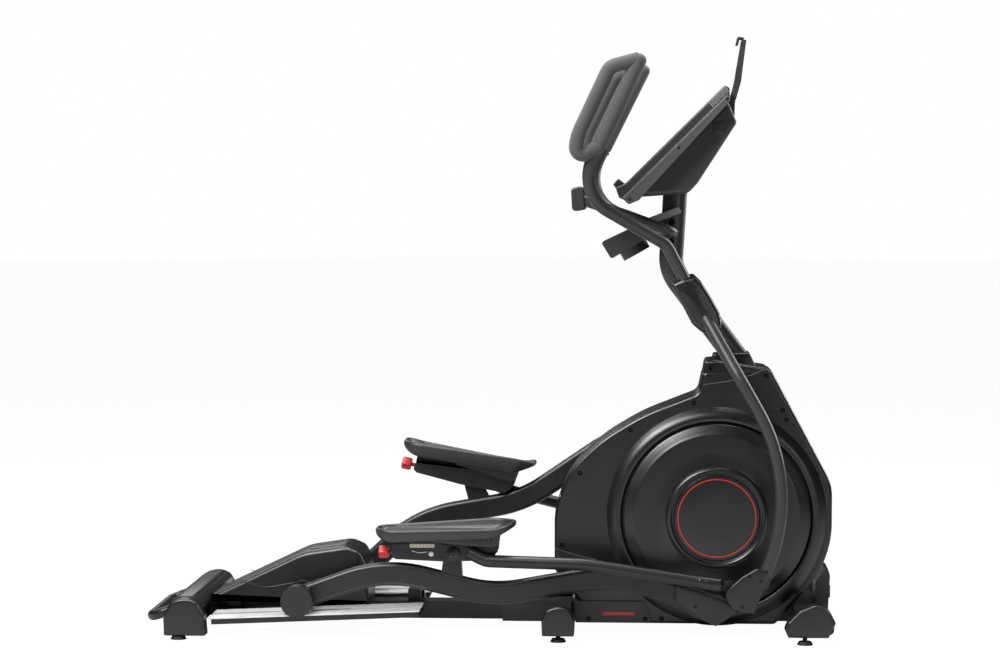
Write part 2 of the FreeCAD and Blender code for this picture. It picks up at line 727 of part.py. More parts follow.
def pedal_bracket():
    """Two cheeks astride the arm, the connecting tube and the tongue at its front end."""
    outline = [(-188, 11, 3), (-188, -10, 8), (-176, -18, 8), (-30, -24, 20), (112, -20, 12),
               (134, 8, 12), (138, 45, 3)]
    cheeks = [slab(outline, cheek_inner, cheek_inner + cheek_thick),
              slab(outline, cheek_outer - cheek_thick, cheek_outer)]
    blocks = [box(-186, -158, cheek_inner, cheek_outer, -12, 8),
              across(ankle[0], ankle[1], 6, cheek_inner, cheek_outer)]
    bar = rod([((48, tube_plane - 8, 6), 0), ((100, tube_plane, -18), 60), ((400, tube_plane, -26), 500),
               ((joint_reach[0] - 88, tube_plane, joint_reach[1] + 15), 0)], bar_radius)
    hollow = rod([((60, tube_plane - 7, 0), 0), ((100, tube_plane, -18), 60), ((400, tube_plane, -26), 500),
                  ((joint_reach[0] - 92, tube_plane, joint_reach[1] + 16), 0)], bar_radius - tube_wall)
    tongue = slab([(joint_reach[0] - 100, joint_reach[1] + 30, 6), (joint_reach[0] + 16, joint_reach[1] + 22, 15),
                   (joint_reach[0] + 16, joint_reach[1] - 18, 15), (joint_reach[0] - 100, joint_reach[1] + 4, 6)],
                  tube_plane - 16, tube_plane - 6)
    flange = slab([(30, 20, 8), (30, -16, 8), (75, -22, 8), (80, 14, 8)], cheek_outer - 1, cheek_outer + 8)
    body = join(cheeks[0], cheeks[1], *blocks)
    body = body.fuse([flange, bar, tongue]).cut(hollow)
    body = body.cut(across(0, 0, pedal_pin_radius + play, 150, 250))
    screw_hole = Part.makeCylinder(6 + play, 60, Vector(-200, arm_plane, knob_level), Vector(1, 0, 0))
    return body.cut(screw_hole).removeSplitter()


plate_side = [(-237, 31, 4), (-230, 58, 5), (-165, 70, 60), (48, 103, 60), (186, 92, 10), (189, 68, 8),
              (139, 56, 20), (48, 45, 60), (-181, 17, 30), (-222, 17, 8)]


def plan(x0, x1, y0, y1, heel, toe):
    """A rounded plan shape, seen from above, as a tall prism."""
    wire = path([((x0, y0, -100), heel), ((x0, y1, -100), heel), ((x1, y1, -100), toe),
                 ((x1, y0, -100), toe)], closed=True)
    return Part.Face(wire).extrude(Vector(0, 0, 400))


def footplate():
    """A dished tray, higher at the toe, with a hinge lug under it."""
    tray = slab(plate_side, plate_inner, plate_outer)
    tray = tray.common(plan(-238, 190, plate_inner, plate_outer, 60, 74))
    floor = slab([(-230, 27, 0), (-181, 27, 20), (48, 55, 60), (139, 66, 20), (190, 84, 0), (190, 200, 0),
                  (-230, 200, 0)], plate_inner, plate_outer)
    dish = plan(-228, 178, plate_inner + 10, plate_outer - 10, 52, 66)
    tray = tray.cut(floor.common(dish))
    web = slab([(ankle[0] - 14, ankle[1], 0), (ankle[0] - 20, 64, 0), (ankle[0] + 20, 66, 0),
                (ankle[0] + 14, ankle[1], 0)], cheek_inner + 8, cheek_outer - 8)
    eye = across(ankle[0], ankle[1], 14, cheek_inner + 8, cheek_outer - 8)
    lug = join(web, eye).cut(slab([(-228, 30, 0), (-181, 30, 20), (48, 58, 60), (139, 69, 20), (190, 87, 0),
                                   (190, 200, 0), (-228, 200, 0)], plate_inner, plate_outer))
    return tray.fuse(lug).cut(across(ankle[0], ankle[1], 6 + play, 150, 250)).removeSplitter()


def ankle_knob():
    """The knob at the heel that sets the footplate's tilt."""
    grip = Part.makeCylinder(knob_radius, 28, Vector(-228, arm_plane, knob_level), Vector(1, 0, 0))
    notches = []
    for index in range(8):
        angle = math.radians(45 * index)
        spot = Vector(-229, arm_plane + (knob_radius + 1.5) * math.cos(angle),
                      knob_level + (knob_radius + 1.5) * math.sin(angle))
        notches.append(Part.makeCylinder(3.5, 30, spot, Vector(1, 0, 0)))
    grip = grip.cut(Part.makeCompound(notches))
    stem = Part.makeCylinder(6, 46, Vector(-201, arm_plane, knob_level), Vector(1, 0, 0))
    return join(grip, stem)


# ------------------------------------------------------------------ swing arms
def bar_corners():
    """Lower tube, upper tube and grip loop of the left swing arm, from its pivot."""
    plane = (hub_inner + hub_outer) / 2 + 10
    lower = [((0, plane, 0), 0), ((133, tube_plane + 7, -235), 150), ((309, tube_plane + 7, -546), 540),
             ((201, tube_plane + 7, -812), 0)]
    upper = [((0, plane, 0), 0), ((-94, 166, 178), 60), ((-362, 300, 333), 128), ((-177, 318, 722), 0)]
    loop = [((-290, 309, 472), 0), ((-366, 322, 428), 22), ((-358, 328, 500), 150), ((-262, 326, 704), 40),
            ((-176, 318, 727), 0)]
    return lower, upper, loop


def swing_hub():
    """The bearing sleeve that turns on the axle."""
    return ring(0, 0, 19, axle_radius + play, hub_inner, hub_outer)


def swing_arm():
    lower, upper, loop = bar_corners()
    hub = ring(0, 0, 30, 19 + play, hub_inner + 2, hub_outer - 2)
    solids = rod(lower, bar_radius).fuse([rod(upper, bar_radius), rod(loop, loop_radius)])
    lower_core = lower[:-1] + [((201, tube_plane + 7, -808), 0)]
    core = rod(lower_core, bar_radius - tube_wall).fuse(rod(upper, bar_radius - tube_wall))
    inside = across(0, 0, 31, 90, 170)
    solids = solids.cut(core.cut(inside)).cut(across(0, 0, 29, 90, 180))
    hub_bore = across(0, 0, 19 + play, 90, 200)
    end = slab([(swing_reach[0] - 24, swing_reach[1] - 22, 20), (swing_reach[0] - 18, swing_reach[1] + 24, 20),
                (188, -818, 6), (196, -790, 6), (226, -800, 6), (212, -850, 10),
                (swing_reach[0] + 20, swing_reach[1] - 24, 20)], tube_plane, tube_plane + 12)
    return join(solids.cut(hub_bore), hub, end)


def handle_grips():
    """Foam sleeves on the main bar's top and round the loop."""
    lower, upper, loop = bar_corners()
    start = Vector(*upper[2][0])
    finish = Vector(*upper[3][0])
    along = (finish - start).normalize()
    first = start + along * 150
    main = rod([(tuple(first), 0), (tuple(finish), 0)], bar_radius + 4)
    ring_grip = rod(loop, loop_radius + 5)
    core = rod([(tuple(first - along * 5), 0), (tuple(finish + along * 1), 0)], bar_radius + 0.3)
    loop_core = rod(loop, loop_radius + 0.3)
    knob = Part.makeSphere(bar_radius + 4, finish)
    keep = rod([(tuple(start), 0), (tuple(finish), 0)], bar_radius + 0.3)
    return main.fuse([ring_grip, knob]).cut(core.fuse([loop_core, keep])).removeSplitter()


def swing_covers():
    """The split cover round the pivot and the flat cover over the lower joint."""
    block = slab([(-78, 62, 12), (-40, 76, 12), (0, 80, 10), (14, 58, 20), (38, 20, 30), (60, -40, 24),
                  (62, -68, 12), (40, -84, 10), (4, -84, 16), (-24, -60, 24), (-60, 20, 30)], hub_inner, 176)
    block = rounded_edges(block, 5, lambda edge: edge.BoundBox.YMin > 175.9)
    lower, upper, loop = bar_corners()
    inside = rod(lower, bar_radius + gap).fuse([rod(upper, bar_radius + gap),
                                                across(0, 0, 30 + gap, hub_inner - 1, hub_outer + 14)])
    block = block.cut(inside)
    outline = [(88, -852, 30), (92, -790, 34), (214, -784, 16), (180, -922, 12), (132, -926, 40)]
    joint = slab(outline, tube_plane + 12 + gap, tube_plane + 36)
    joint = rounded_edges(joint, 5, lambda edge: edge.BoundBox.YMin > tube_plane + 35.9)
    bars = rod(lower, bar_radius + gap)
    return Part.makeCompound([block, joint.cut(bars)])


# ------------------------------------------------------------------ handlebar, console, holders
def fixed_handlebar():
    bar = tube(fixed_bar_corners(), 16)
    return both(bar.cut(mast_sweep(0)))


def fixed_bar_corners():
    """Out of the mast sideways, past the bottle holder and back to the grip."""
    start = mast_middle(1224)
    return [((start, 0, 1224), 0), ((start, 94, 1224), 36), ((420, 112, 1276), 200), ((274, 128, 1326), 0)]


def mast_middle(height):
    """The mast's middle line at a height above its bend."""
    top, low = mast_path[0][0], mast_path[1][0]
    return low[0] + (top[0] - low[0]) * (height - low[2]) / (top[2] - low[2])


def pulse_grips():
    grip = slab([(256, 1286, 12), (252, 1358, 12), (290, 1366, 12), (296, 1294, 12)], 108, 148)
    grip = rounded_edges(grip, 6, lambda edge: abs(abs(edge.CenterOfMass.y - 128) - 20) < 0.01)
    return both(grip.cut(rod(fixed_bar_corners(), 16 + play)))


def screen_plane(along, depth):
    """A point of the console's side outline: along the screen's slope and square to it."""
    return carried((419, 1373), (along, depth), 44.7)


def console_slab(corners, y0, y1):
    return slab([(*screen_plane(along, depth), radius) for along, depth, radius in corners], y0, y1)


def console_bezel():
    body = console_slab([(-46, -18, 6), (-32, 12, 8), (0, 0, 30), (414, 0, 5), (420, -16, 6), (398, -40, 10),
                         (-6, -40, 6), (-38, -36, 8)], -console_half, console_half)
    body = rounded_edges(body, 6, lambda edge: abs(abs(edge.CenterOfMass.y) - console_half) < 0.01)
    pocket = console_slab([(58, 1, 0), (58, -6, 0), (384, -6, 0), (384, 1, 0)], -188, 188)
    back = console_slab([(20, -14, 0), (20, -60, 0), (380, -60, 0), (380, -14, 0)], -130, 130)
    return body.cut(pocket).cut(back)


def touchscreen():
    return console_slab([(58.3, -0.5, 0), (58.3, -5.7, 0), (383.7, -5.7, 0), (383.7, -0.5, 0)], -187.7, 187.7)


housing_corners = [(-2, -40.3, 0), (8, -64, 12), (112, -154, 30), (154, -152, 24), (366, -105, 14),
                   (384, -60, 20), (390, -40.3, 0)]


def console_rear_housing():
    body = console_slab(housing_corners, -housing_half, housing_half)
    body = rounded_edges(body, 14, lambda edge: abs(abs(edge.CenterOfMass.y) - housing_half) < 0.01
                         and edge.BoundBox.ZLength < 395)
    hollow = console_slab([(12, -39, 0), (18, -62, 10), (112, -148, 26), (152, -146, 20), (360, -102, 12),
                           (378, -60, 16), (380, -39, 0)], -housing_half + 4, housing_half - 4)
    return body.cut(hollow).cut(mast_sweep(1))


def circuit_boards():
    """The console's board behind the screen, and the motor controller under the shroud."""
    console = console_slab([(60, -46, 0), (60, -48, 0), (340, -48, 0), (340, -46, 0)], -110, 110)
    chips = [console_slab([(a, -48, 0), (a, -56, 0), (a + 30, -56, 0), (a + 30, -48, 0)], y, y + 30)
             for a, y in ((100, -60), (180, 10), (260, -80))]
    side = 10 - shroud_half
    board = box(560, 640, side, side + 2, 110, 230)
    coil = box(575, 600, side + 2, side + 24, 130, 170)
    return Part.makeCompound([join(console, *chips), join(board, coil)])


def bottle_holder():
    """A tilted tray on the mast with a round pocket for a bottle."""
    tilt = 29.5
    spot = (364, 1171)
    tray = slab([(-6, -30, 8), (-8, 30, 8), (240, 12, 10), (246, -6, 8), (180, -14, 30), (120, -28, 30)], -66, 66)
    cup = Part.makeCylinder(45, 70, Vector(70, 0, -56), Vector(0, 0, 1))
    pocket = Part.makeCylinder(bottle_radius, 100, Vector(70, 0, -50), Vector(0, 0, 1))
    body = placed(join(tray, cup).cut(pocket), spot, tilt)
    return body.cut(mast_sweep(gap))


bottle_radius = 39.0


def tablet_holder():
    plate = slab([(tablet_hinge[0] - 6, tablet_hinge[1] + 6, 4), (748, 1682, 10), (770, 1812, 4),
                  (784, 1810, 4), (768, 1682, 10), (tablet_hinge[0] + 12, tablet_hinge[1] + 4, 4)], -40, 40)
    slot = slab([(700, 1700, 0), (700, 1790, 0), (820, 1790, 0), (820, 1700, 0)], -26, 26)
    eye = across(tablet_hinge[0], tablet_hinge[1], 11, -40, 40)
    return join(plate.cut(slot), eye).cut(across(tablet_hinge[0], tablet_hinge[1], 5 + play, -80, 80))


tablet_hinge = (740.0, 1622.0)


def tablet_bracket():
    """Two ears on the console housing with the holder's pin."""
    ear = slab([(tablet_hinge[0] - 12, tablet_hinge[1] - 34, 4), (tablet_hinge[0] - 10, tablet_hinge[1] + 10, 9),
                (tablet_hinge[0] + 10, tablet_hinge[1] + 10, 9), (tablet_hinge[0] + 8, tablet_hinge[1] - 60, 4)],
               41, 48)
    pin = across(tablet_hinge[0], tablet_hinge[1], 5, -48, 48)
    return join(pin, ear, mirrored(ear))


def tablet_clamp():
    """The sliding jaw along the holder's top edge."""
    jaw = slab([(756, 1815, 2), (758, 1819.5, 2), (778, 1817, 2), (776, 1812.6, 2)], -40, 40)
    lip = slab([(752, 1796, 2), (757, 1819, 2), (763, 1818, 2), (760, 1796, 2)], -40, 40)
    return join(jaw, lip)


inlet_place = (-30.0, 122.0)    # Y and Z of the mains socket on the front cover


def inlet_block(reach, half, x0, x1):
    """A block round the socket's middle, half as wide again as it is high."""
    y, z = inlet_place
    return box(x0, x1, y - half * 1.2 - reach, y + half * 1.2 + reach, z - half - reach, z + half + reach)


def power_inlet():
    """The mains socket let into the front cover: a flanged cup with three blades."""
    y, z = inlet_place
    front = half_length
    cup = join(inlet_block(0, 14, front - 32, front - 4), inlet_block(0, 18, front - 7, front - 1))
    cup = cup.cut(inlet_block(0, 10, front - 26, front))
    blades = [box(front - 28, front - 10, y + side - 1, y + side + 1, z + rise - 3, z + rise + 3)
              for side, rise in ((-7, -2), (0, 3), (7, -2))]
    return join(cup, *blades)


def transport_wheels():
    return both(ring(*front_wheel, 20, 7 + play, 253, 280))


# ------------------------------------------------------------------ build
def build():
    nodes = {
        "main_frame": Part.makeCompound([main_frame(), idler_bracket(), brake_stand()]),
        "stabilizer_beams": stabilizer_beams(),
        "stabilizer_covers": stabilizer_covers(),
        "leveling_feet": leveling_feet(),
        "console_mast": console_mast(),
        "shroud_left": shroud_half_shell(),
        "shroud_right": mirrored(shroud_half_shell()),
        "shroud_collar": shroud_collar(),
        "base_covers": base_covers(),
        "cover_screws": cover_screws(),
        "axle_bearings": crank_bearings(),
        "crank_axle": crank_axle(),
        "crank_pulley": crank_pulley(),
        "crank_arms": on_crank(crank_arm()),
        "crank_discs": on_crank(crank_disc()),
        "flywheel": flywheel(),
        "drive_belt": drive_belt(),
        "idler_pulley": idler_pulley(),
        "brake_magnet": brake_magnet(),
        "ramp_rails": ramp_rails(),
        "track_plates": track_plates(),
        "incline_cover": incline_cover(),
        "incline_motor": incline_motor(),
        "incline_screw": incline_screw(),
        "fixed_handlebar": fixed_handlebar(),
        "pulse_grips": pulse_grips(),
        "console_bezel": console_bezel(),
        "console_rear_housing": Part.makeCompound([console_rear_housing(), tablet_bracket()]),
        "touchscreen": touchscreen(),
        "circuit_boards": circuit_boards(),
        "bottle_holder": bottle_holder(),
        "tablet_holder": tablet_holder(),
        "tablet_clamp": tablet_clamp(),
        "transport_wheels": transport_wheels(),
        "power_inlet": power_inlet(),
    }
    local = {
        "roller_axle": ("roller", 0, roller_axle()),
        "rollers": ("roller", 0, rollers()),
        "roller_boot": ("roller", 0, roller_boot()),
        "pedal_arm": ("roller", "arm", pedal_arm()),
        "pivot_pin": ("post", "carrier", pivot_pin()),
        "pedal_bracket": ("post", "carrier", pedal_bracket()),
        "footplate": ("post", "carrier", footplate()),
        "ankle_knob": ("post", "carrier", ankle_knob()),
        "swing_hub": ("swing_pivot", "swing", swing_hub()),
        "swing_arm": ("swing_pivot", "swing", swing_arm()),
        "handle_grips": ("swing_pivot", "swing", handle_grips()),
        "swing_covers": ("swing_pivot", "swing", swing_covers()),
    }
    for side, places in sides.items():
        places["swing_pivot"] = (swing_x, swing_z)
        for name, (spot, angle, shape) in local.items():
            turn = places[angle] if angle else 0
            nodes[f"{name}_{side}"] = placed(on_side(side, shape), places[spot], turn)
    return nodes


os.makedirs("parts", exist_ok=True)
for node_name, node_shape in build().items():
    write(node_name, node_shape)
for side_name, places in sides.items():
    print(side_name, {key: value if isinstance(value, float) else tuple(round(v, 2) for v in value)
                      for key, value in places.items()})
print("idler", idler_place())
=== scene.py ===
# %% [markdown]
# An elliptical trainer: a shroud with a turning disc at the front, two pedal arms that roll on an
# aluminium ramp at the back, and swing handlebars under a tilted console. The solid parts come from
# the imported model, and this lesson gives them their finishes and adds the pieces that a solid
# modeller leaves plain: rolled rims, foam grips, rubber mats, screws and seams.

import json
import math

import bmesh
import bpy
import numpy as np
from mathutils import Matrix, Vector


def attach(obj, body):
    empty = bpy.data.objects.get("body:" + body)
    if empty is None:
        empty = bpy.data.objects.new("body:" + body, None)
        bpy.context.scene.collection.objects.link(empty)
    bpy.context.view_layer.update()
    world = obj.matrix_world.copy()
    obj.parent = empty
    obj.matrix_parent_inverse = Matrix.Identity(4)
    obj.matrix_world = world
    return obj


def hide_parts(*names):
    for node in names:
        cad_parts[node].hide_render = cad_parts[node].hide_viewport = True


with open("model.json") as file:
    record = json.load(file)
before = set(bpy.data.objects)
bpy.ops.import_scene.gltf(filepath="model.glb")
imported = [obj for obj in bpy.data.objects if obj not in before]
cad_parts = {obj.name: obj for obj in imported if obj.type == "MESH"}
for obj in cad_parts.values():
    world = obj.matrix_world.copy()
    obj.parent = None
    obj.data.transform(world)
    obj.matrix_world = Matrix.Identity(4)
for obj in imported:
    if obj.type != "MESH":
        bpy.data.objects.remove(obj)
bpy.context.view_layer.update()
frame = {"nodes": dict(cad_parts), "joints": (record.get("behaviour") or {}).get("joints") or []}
nodes = frame["nodes"]
joints = {joint["name"]: joint for joint in frame["joints"]}

# %% [markdown]
# Shader arithmetic reads best as a formula. A Value wraps one socket, and each operator adds the
# Math node that does it, in both orders, so that 1 - mask works. A Finish is one material: it makes
# any other node from its type, its settings and the values or links of its sockets.

# %% Values and finishes
class Value:
    """A socket whose arithmetic adds Math nodes to its finish."""

    def __init__(self, finish, socket):
        self.finish, self.socket = finish, socket

    def math(self, operation, *values):
        """One Math node on these values."""
        return self.finish.node("ShaderNodeMath", {"operation": operation}, dict(enumerate(values)))

    def __add__(self, other):
        return self.math("ADD", self, other)

    def __sub__(self, other):
        return self.math("SUBTRACT", self, other)

    def __rsub__(self, other):
        return self.math("SUBTRACT", other, self)

    def __mul__(self, other):
        return self.math("MULTIPLY", self, other)

    __radd__, __rmul__ = __add__, __mul__


class Finish:
    """A material built node by node round one Principled shader."""

    def __init__(self, name, **constants):
        self.material = bpy.data.materials.new(name)
        self.material.use_nodes = True
        self.tree = self.material.node_tree
        self.shader = self.tree.nodes["Principled BSDF"]
        for socket, value in constants.items():
            self.shader.inputs[socket.replace("_", " ")].default_value = value

    def fill(self, socket, value):
        """Link a value into a socket, or set the socket to a plain colour or number."""
        if isinstance(value, Value):
            self.tree.links.new(value.socket, socket)
        elif isinstance(value, tuple) and socket.type == "RGBA":
            socket.default_value = (*value[:3], 1)
        else:
            socket.default_value = value

    def node(self, kind, settings=None, values=None, output=0):
        """Any node: its settings first, then its sockets, by name or number."""
        made = self.tree.nodes.new(kind)
        for key, setting in (settings or {}).items():
            setattr(made, key, setting)
        for key, value in (values or {}).items():
            self.fill(made.inputs[key], value)
        return Value(self, made.outputs[output])

    def set(self, socket, value):
        """Give the shader's own socket a value."""
        self.fill(self.shader.inputs[socket], value)

    def place(self, stretch=(1, 1, 1), turn=(0, 0, 0)):
        """Object coordinates in metres, stretched and turned."""
        where = self.node("ShaderNodeTexCoord", output=3)
        return self.node("ShaderNodeMapping", None, {"Vector": where, "Scale": stretch, "Rotation": turn})

    def noise(self, scale, detail=2.0, roughness=0.5, where=None):
        """Soft noise from 0 to 1, with so many features to the metre."""
        return self.node("ShaderNodeTexNoise", None, {"Vector": where or self.place(), "Scale": scale,
                                                      "Detail": detail, "Roughness": roughness})

    def cells(self, scale, feature="F1"):
        """Voronoi cells: the distance to the nearest point, or to the nearest edge."""
        return self.node("ShaderNodeTexVoronoi", {"feature": feature},
                         {"Vector": self.place(), "Scale": scale})

    def blend(self, factor, first, second):
        """A colour between two, by a factor."""
        return self.node("ShaderNodeMix", {"data_type": "RGBA"}, {0: factor, 6: first, 7: second}, 2)

    def bump(self, height, distance, strength=1.0):
        """Raise the surface by a height times a distance in metres."""
        self.set("Normal", self.node("ShaderNodeBump", None,
                                     {"Height": height, "Distance": distance, "Strength": strength}))


finishes = {}

# %% [markdown]
# Most of the machine is one of two blacks. Moulded covers carry a fine spark-eroded grain that
# breaks up the reflections, and steel tubes carry powder coat, which flows into a soft orange peel.
# Both are a little uneven in tone and in gloss, because hands and cloths polish them in patches.

# %% Moulded plastic and powder coat
def moulded(name, dark, light, gloss, grain=1500.0, depth=0.00012):
    """Tone and gloss drift with slow noise; cells of the grain stand up as bump."""
    finish = Finish(name, Specular_IOR_Level=0.6)
    drift = finish.noise(7.0, 3.0)
    speck = finish.noise(420.0, 2.0)
    finish.set("Base Color", finish.blend(drift * 0.7 + speck * 0.3, dark, light))
    finish.set("Roughness", gloss + (finish.noise(14.0, 4.0, 0.6) - 0.5) * 0.16 + (speck - 0.5) * 0.08)
    finish.bump(finish.cells(grain) + finish.noise(260.0, 2.0) * 0.4, depth, 0.6)
    finishes[name] = finish
    return finish


def coated(name, dark, light, gloss):
    """Orange peel: smooth noise as bump, with a finer one on top, and dust in the tone."""
    finish = Finish(name, Specular_IOR_Level=0.5)
    drift = finish.noise(9.0, 3.0, 0.6)
    fine = finish.noise(1400.0, 1.0)
    finish.set("Base Color", finish.blend(drift * 0.75 + fine * 0.25, dark, light))
    finish.set("Roughness", gloss + (finish.noise(22.0, 3.0, 0.6) - 0.5) * 0.14)
    finish.bump(finish.noise(520.0, 1.0) + fine * 0.25, 0.00018, 0.7)
    finishes[name] = finish


moulded("shroud_black", (0.0036, 0.0036, 0.0037), (0.0062, 0.0062, 0.0063), 0.30)
moulded("disc_black", (0.0040, 0.0040, 0.0041), (0.0060, 0.0060, 0.0061), 0.32, 1800.0, 0.00003)
moulded("cover_black", (0.0038, 0.0038, 0.0039), (0.0070, 0.0070, 0.0071), 0.33)
moulded("tray_grey", (0.014, 0.014, 0.0142), (0.024, 0.0235, 0.0235), 0.44)
moulded("console_black", (0.016, 0.016, 0.0165), (0.027, 0.027, 0.0275), 0.46)
moulded("strip_grey", (0.055, 0.055, 0.054), (0.080, 0.080, 0.078), 0.40)
moulded("trim_light", (0.20, 0.20, 0.20), (0.30, 0.30, 0.30), 0.38)
moulded("wheel_amber", (0.66, 0.30, 0.02), (0.85, 0.43, 0.04), 0.35, 900.0, 0.00008)
moulded("knob_red", (0.42, 0.012, 0.018), (0.58, 0.022, 0.03), 0.38, 900.0, 0.00008)
moulded("ring_red", (0.46, 0.010, 0.012), (0.60, 0.016, 0.018), 0.32, 900.0, 0.00004)
moulded("label_cream", (0.50, 0.47, 0.36), (0.66, 0.62, 0.49), 0.5, 900.0, 0.00003)
moulded("mark_white", (0.66, 0.66, 0.65), (0.82, 0.82, 0.80), 0.4, 900.0, 0.00003)
# Screws, bolts and printed ticks take a black darker than any paint, almost without gloss: the screws are
# black, and their wells carry painted shade.
hole = moulded("black_and_well_shade", (0.0004, 0.0004, 0.0004), (0.0012, 0.0012, 0.0012), 0.7, 900.0, 0.00003)
hole.shader.inputs["Specular IOR Level"].default_value = 0.08
coated("tube_black", (0.019, 0.019, 0.0195), (0.034, 0.034, 0.0345), 0.40)
coated("arm_black", (0.0068, 0.0068, 0.0069), (0.0120, 0.0120, 0.0121), 0.38)
coated("frame_black", (0.0052, 0.0052, 0.0053), (0.0090, 0.0090, 0.0091), 0.36)
print("finishes", len(finishes))

# %% [markdown]
# The rest are metals, rubber, foam and glass. Extruded tracks show long fine drawing lines.
# Turned steel has rings of tone, cast iron is coarse, rubber is matt and slightly dusty, and the
# foam of the grips has open pores of half a millimetre.

# %% Metals, rubber, foam and glass
def drawn_metal(name, dark, light, gloss, stretch, depth=0.00004, metallic=1.0):
    """Noise stretched along the draw direction gives lines of tone, gloss and height."""
    finish = Finish(name, Metallic=metallic)
    lines = finish.noise(1.0, 4.0, 0.65, finish.place(stretch))
    smear = finish.noise(18.0, 3.0)
    finish.set("Base Color", finish.blend(lines * 0.8 + smear * 0.2, dark, light))
    finish.set("Roughness", gloss + (lines - 0.5) * 0.25 + (smear - 0.5) * 0.1)
    finish.bump(lines, depth)
    finishes[name] = finish


drawn_metal("track_metal", (0.60, 0.61, 0.62), (0.82, 0.83, 0.84), 0.30, (3.0, 900.0, 900.0),
            metallic=0.35)
drawn_metal("turned_steel", (0.40, 0.40, 0.41), (0.62, 0.62, 0.63), 0.28, (160.0, 900.0, 160.0))
drawn_metal("screw_black", (0.030, 0.030, 0.031), (0.070, 0.070, 0.072), 0.34, (700.0, 900.0, 700.0))
drawn_metal("cast_grey", (0.10, 0.10, 0.105), (0.20, 0.20, 0.205), 0.5, (240.0, 240.0, 240.0), 0.0003)


def rubber(name, dark, light):
    """Matt, with dust in the tone and a coarse skin."""
    finish = Finish(name, Specular_IOR_Level=0.3)
    dust = finish.noise(30.0, 5.0, 0.65)
    finish.set("Base Color", finish.blend(dust, dark, light))
    finish.set("Roughness", 0.68 + (finish.noise(60.0, 2.0) - 0.5) * 0.2)
    finish.bump(finish.noise(700.0, 3.0, 0.6), 0.0003)
    finishes[name] = finish


rubber("rubber_black", (0.010, 0.010, 0.010), (0.026, 0.026, 0.025))


def foam():
    """Closed skin with open pores: small cells push in, and the colour in them is painted darker as shade in
    the pores.
    """
    finish = Finish("foam_charcoal", Specular_IOR_Level=0.25, Sheen_Weight=0.25, Sheen_Roughness=0.5)
    pores = finish.cells(1500.0)
    finish.set("Base Color", finish.blend(finish.noise(12.0, 3.0) * 0.5 + pores * 0.5,
                                          (0.050, 0.050, 0.0505), (0.092, 0.092, 0.091)))
    finish.set("Roughness", 0.72 + (finish.noise(90.0, 3.0) - 0.5) * 0.2)
    finish.bump(pores + finish.noise(500.0, 2.0) * 0.6, 0.0004, 0.8)
    finishes["foam_charcoal"] = finish


def mat():
    """Two crossed waves leave small raised lozenges, as on a moulded rubber mat."""
    finish = Finish("mat_brown", Specular_IOR_Level=0.3)
    waves = [finish.node("ShaderNodeTexWave", {"wave_profile": "SIN"},
                         {"Vector": finish.place(turn=(0, 0, math.radians(angle))), "Scale": 42.0,
                          "Distortion": 0.0}, 1) for angle in (45, -45)]
    lozenge = waves[0] * waves[1]
    grit = finish.noise(240.0, 4.0, 0.7)
    # The lozenges are painted lighter than the grooves between them: painted light on the raised tops and
    # painted shade in the grooves.
    finish.set("Base Color", finish.blend(lozenge * 0.6 + grit * 0.5,
                                          (0.020, 0.018, 0.016), (0.085, 0.074, 0.064)))
    finish.set("Roughness", 0.66 + (grit - 0.5) * 0.2)
    finish.bump(lozenge + grit * 0.3, 0.0010)
    finishes["mat_brown"] = finish


def glass():
    """Black glass: almost even, with the faint smears that fingers leave in its gloss."""
    finish = Finish("screen_glass", Specular_IOR_Level=0.6, IOR=1.5)
    smear = finish.noise(9.0, 5.0, 0.7)
    finish.set("Base Color", finish.blend(smear, (0.006, 0.006, 0.007), (0.011, 0.011, 0.012)))
    finish.set("Roughness", 0.05 + smear * 0.12)
    finish.bump(finish.noise(3.0), 0.0001, 0.2)
    finishes["screen_glass"] = finish


def board():
    """Green solder mask with copper runs under it."""
    finish = Finish("board_green", Specular_IOR_Level=0.5)
    runs = finish.cells(160.0, "DISTANCE_TO_EDGE") * 8.0
    finish.set("Base Color", finish.blend(runs, (0.05, 0.16, 0.06), (0.012, 0.075, 0.03)))
    finish.set("Roughness", 0.3 + finish.noise(80.0) * 0.2)
    finish.bump(runs, 0.0001)
    finishes["board_green"] = finish


for make in (foam, mat, glass, board):
    make()
print("finishes", len(finishes))

# %% [markdown]
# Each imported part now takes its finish. The parts are matched by the start of their names, so that a
# left and a right part share a line.

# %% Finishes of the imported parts
worn_by = {
    "main_frame": "frame_black", "stabilizer_beams": "frame_black", "ramp_rails": "frame_black",
    "console_mast": "tube_black", "fixed_handlebar": "tube_black", "swing_arm": "tube_black",
    "pedal_bracket": "arm_black", "pedal_arm": "arm_black", "crank_arms": "frame_black",
    "stabilizer_covers": "cover_black", "shroud": "shroud_black", "base_covers": "shroud_black",
    "incline_cover": "cover_black", "bottle_holder": "tray_grey", "console_rear_housing": "console_black",
    "console_bezel": "console_black", "pulse_grips": "tray_grey", "roller_boot": "cover_black",
    "footplate": "tray_grey", "swing_covers": "cover_black", "tablet_holder": "console_black",
    "tablet_clamp": "console_black", "crank_discs": "disc_black", "idler_pulley": "tray_grey",
    "power_inlet": "rubber_black", "leveling_feet": "rubber_black", "drive_belt": "rubber_black",
    "transport_wheels": "rubber_black",
    "cover_screws": "screw_black", "pivot_pin": "screw_black",
    "axle_bearings": "turned_steel", "crank_axle": "turned_steel", "incline_screw": "turned_steel",
    "roller_axle": "turned_steel", "swing_hub": "turned_steel", "flywheel": "cast_grey",
    "crank_pulley": "cast_grey", "incline_motor": "cast_grey", "brake_magnet": "cast_grey",
    "rollers": "wheel_amber", "ankle_knob": "knob_red", "handle_grips": "foam_charcoal",
    "track_plates": "track_metal", "touchscreen": "screen_glass", "circuit_boards": "board_green",
}
for name, node in nodes.items():
    start = max((key for key in worn_by if name.startswith(key)), key=len)
    node.data.materials.clear()
    node.data.materials.append(finishes[worn_by[start]].material)
print("dressed", len(nodes))

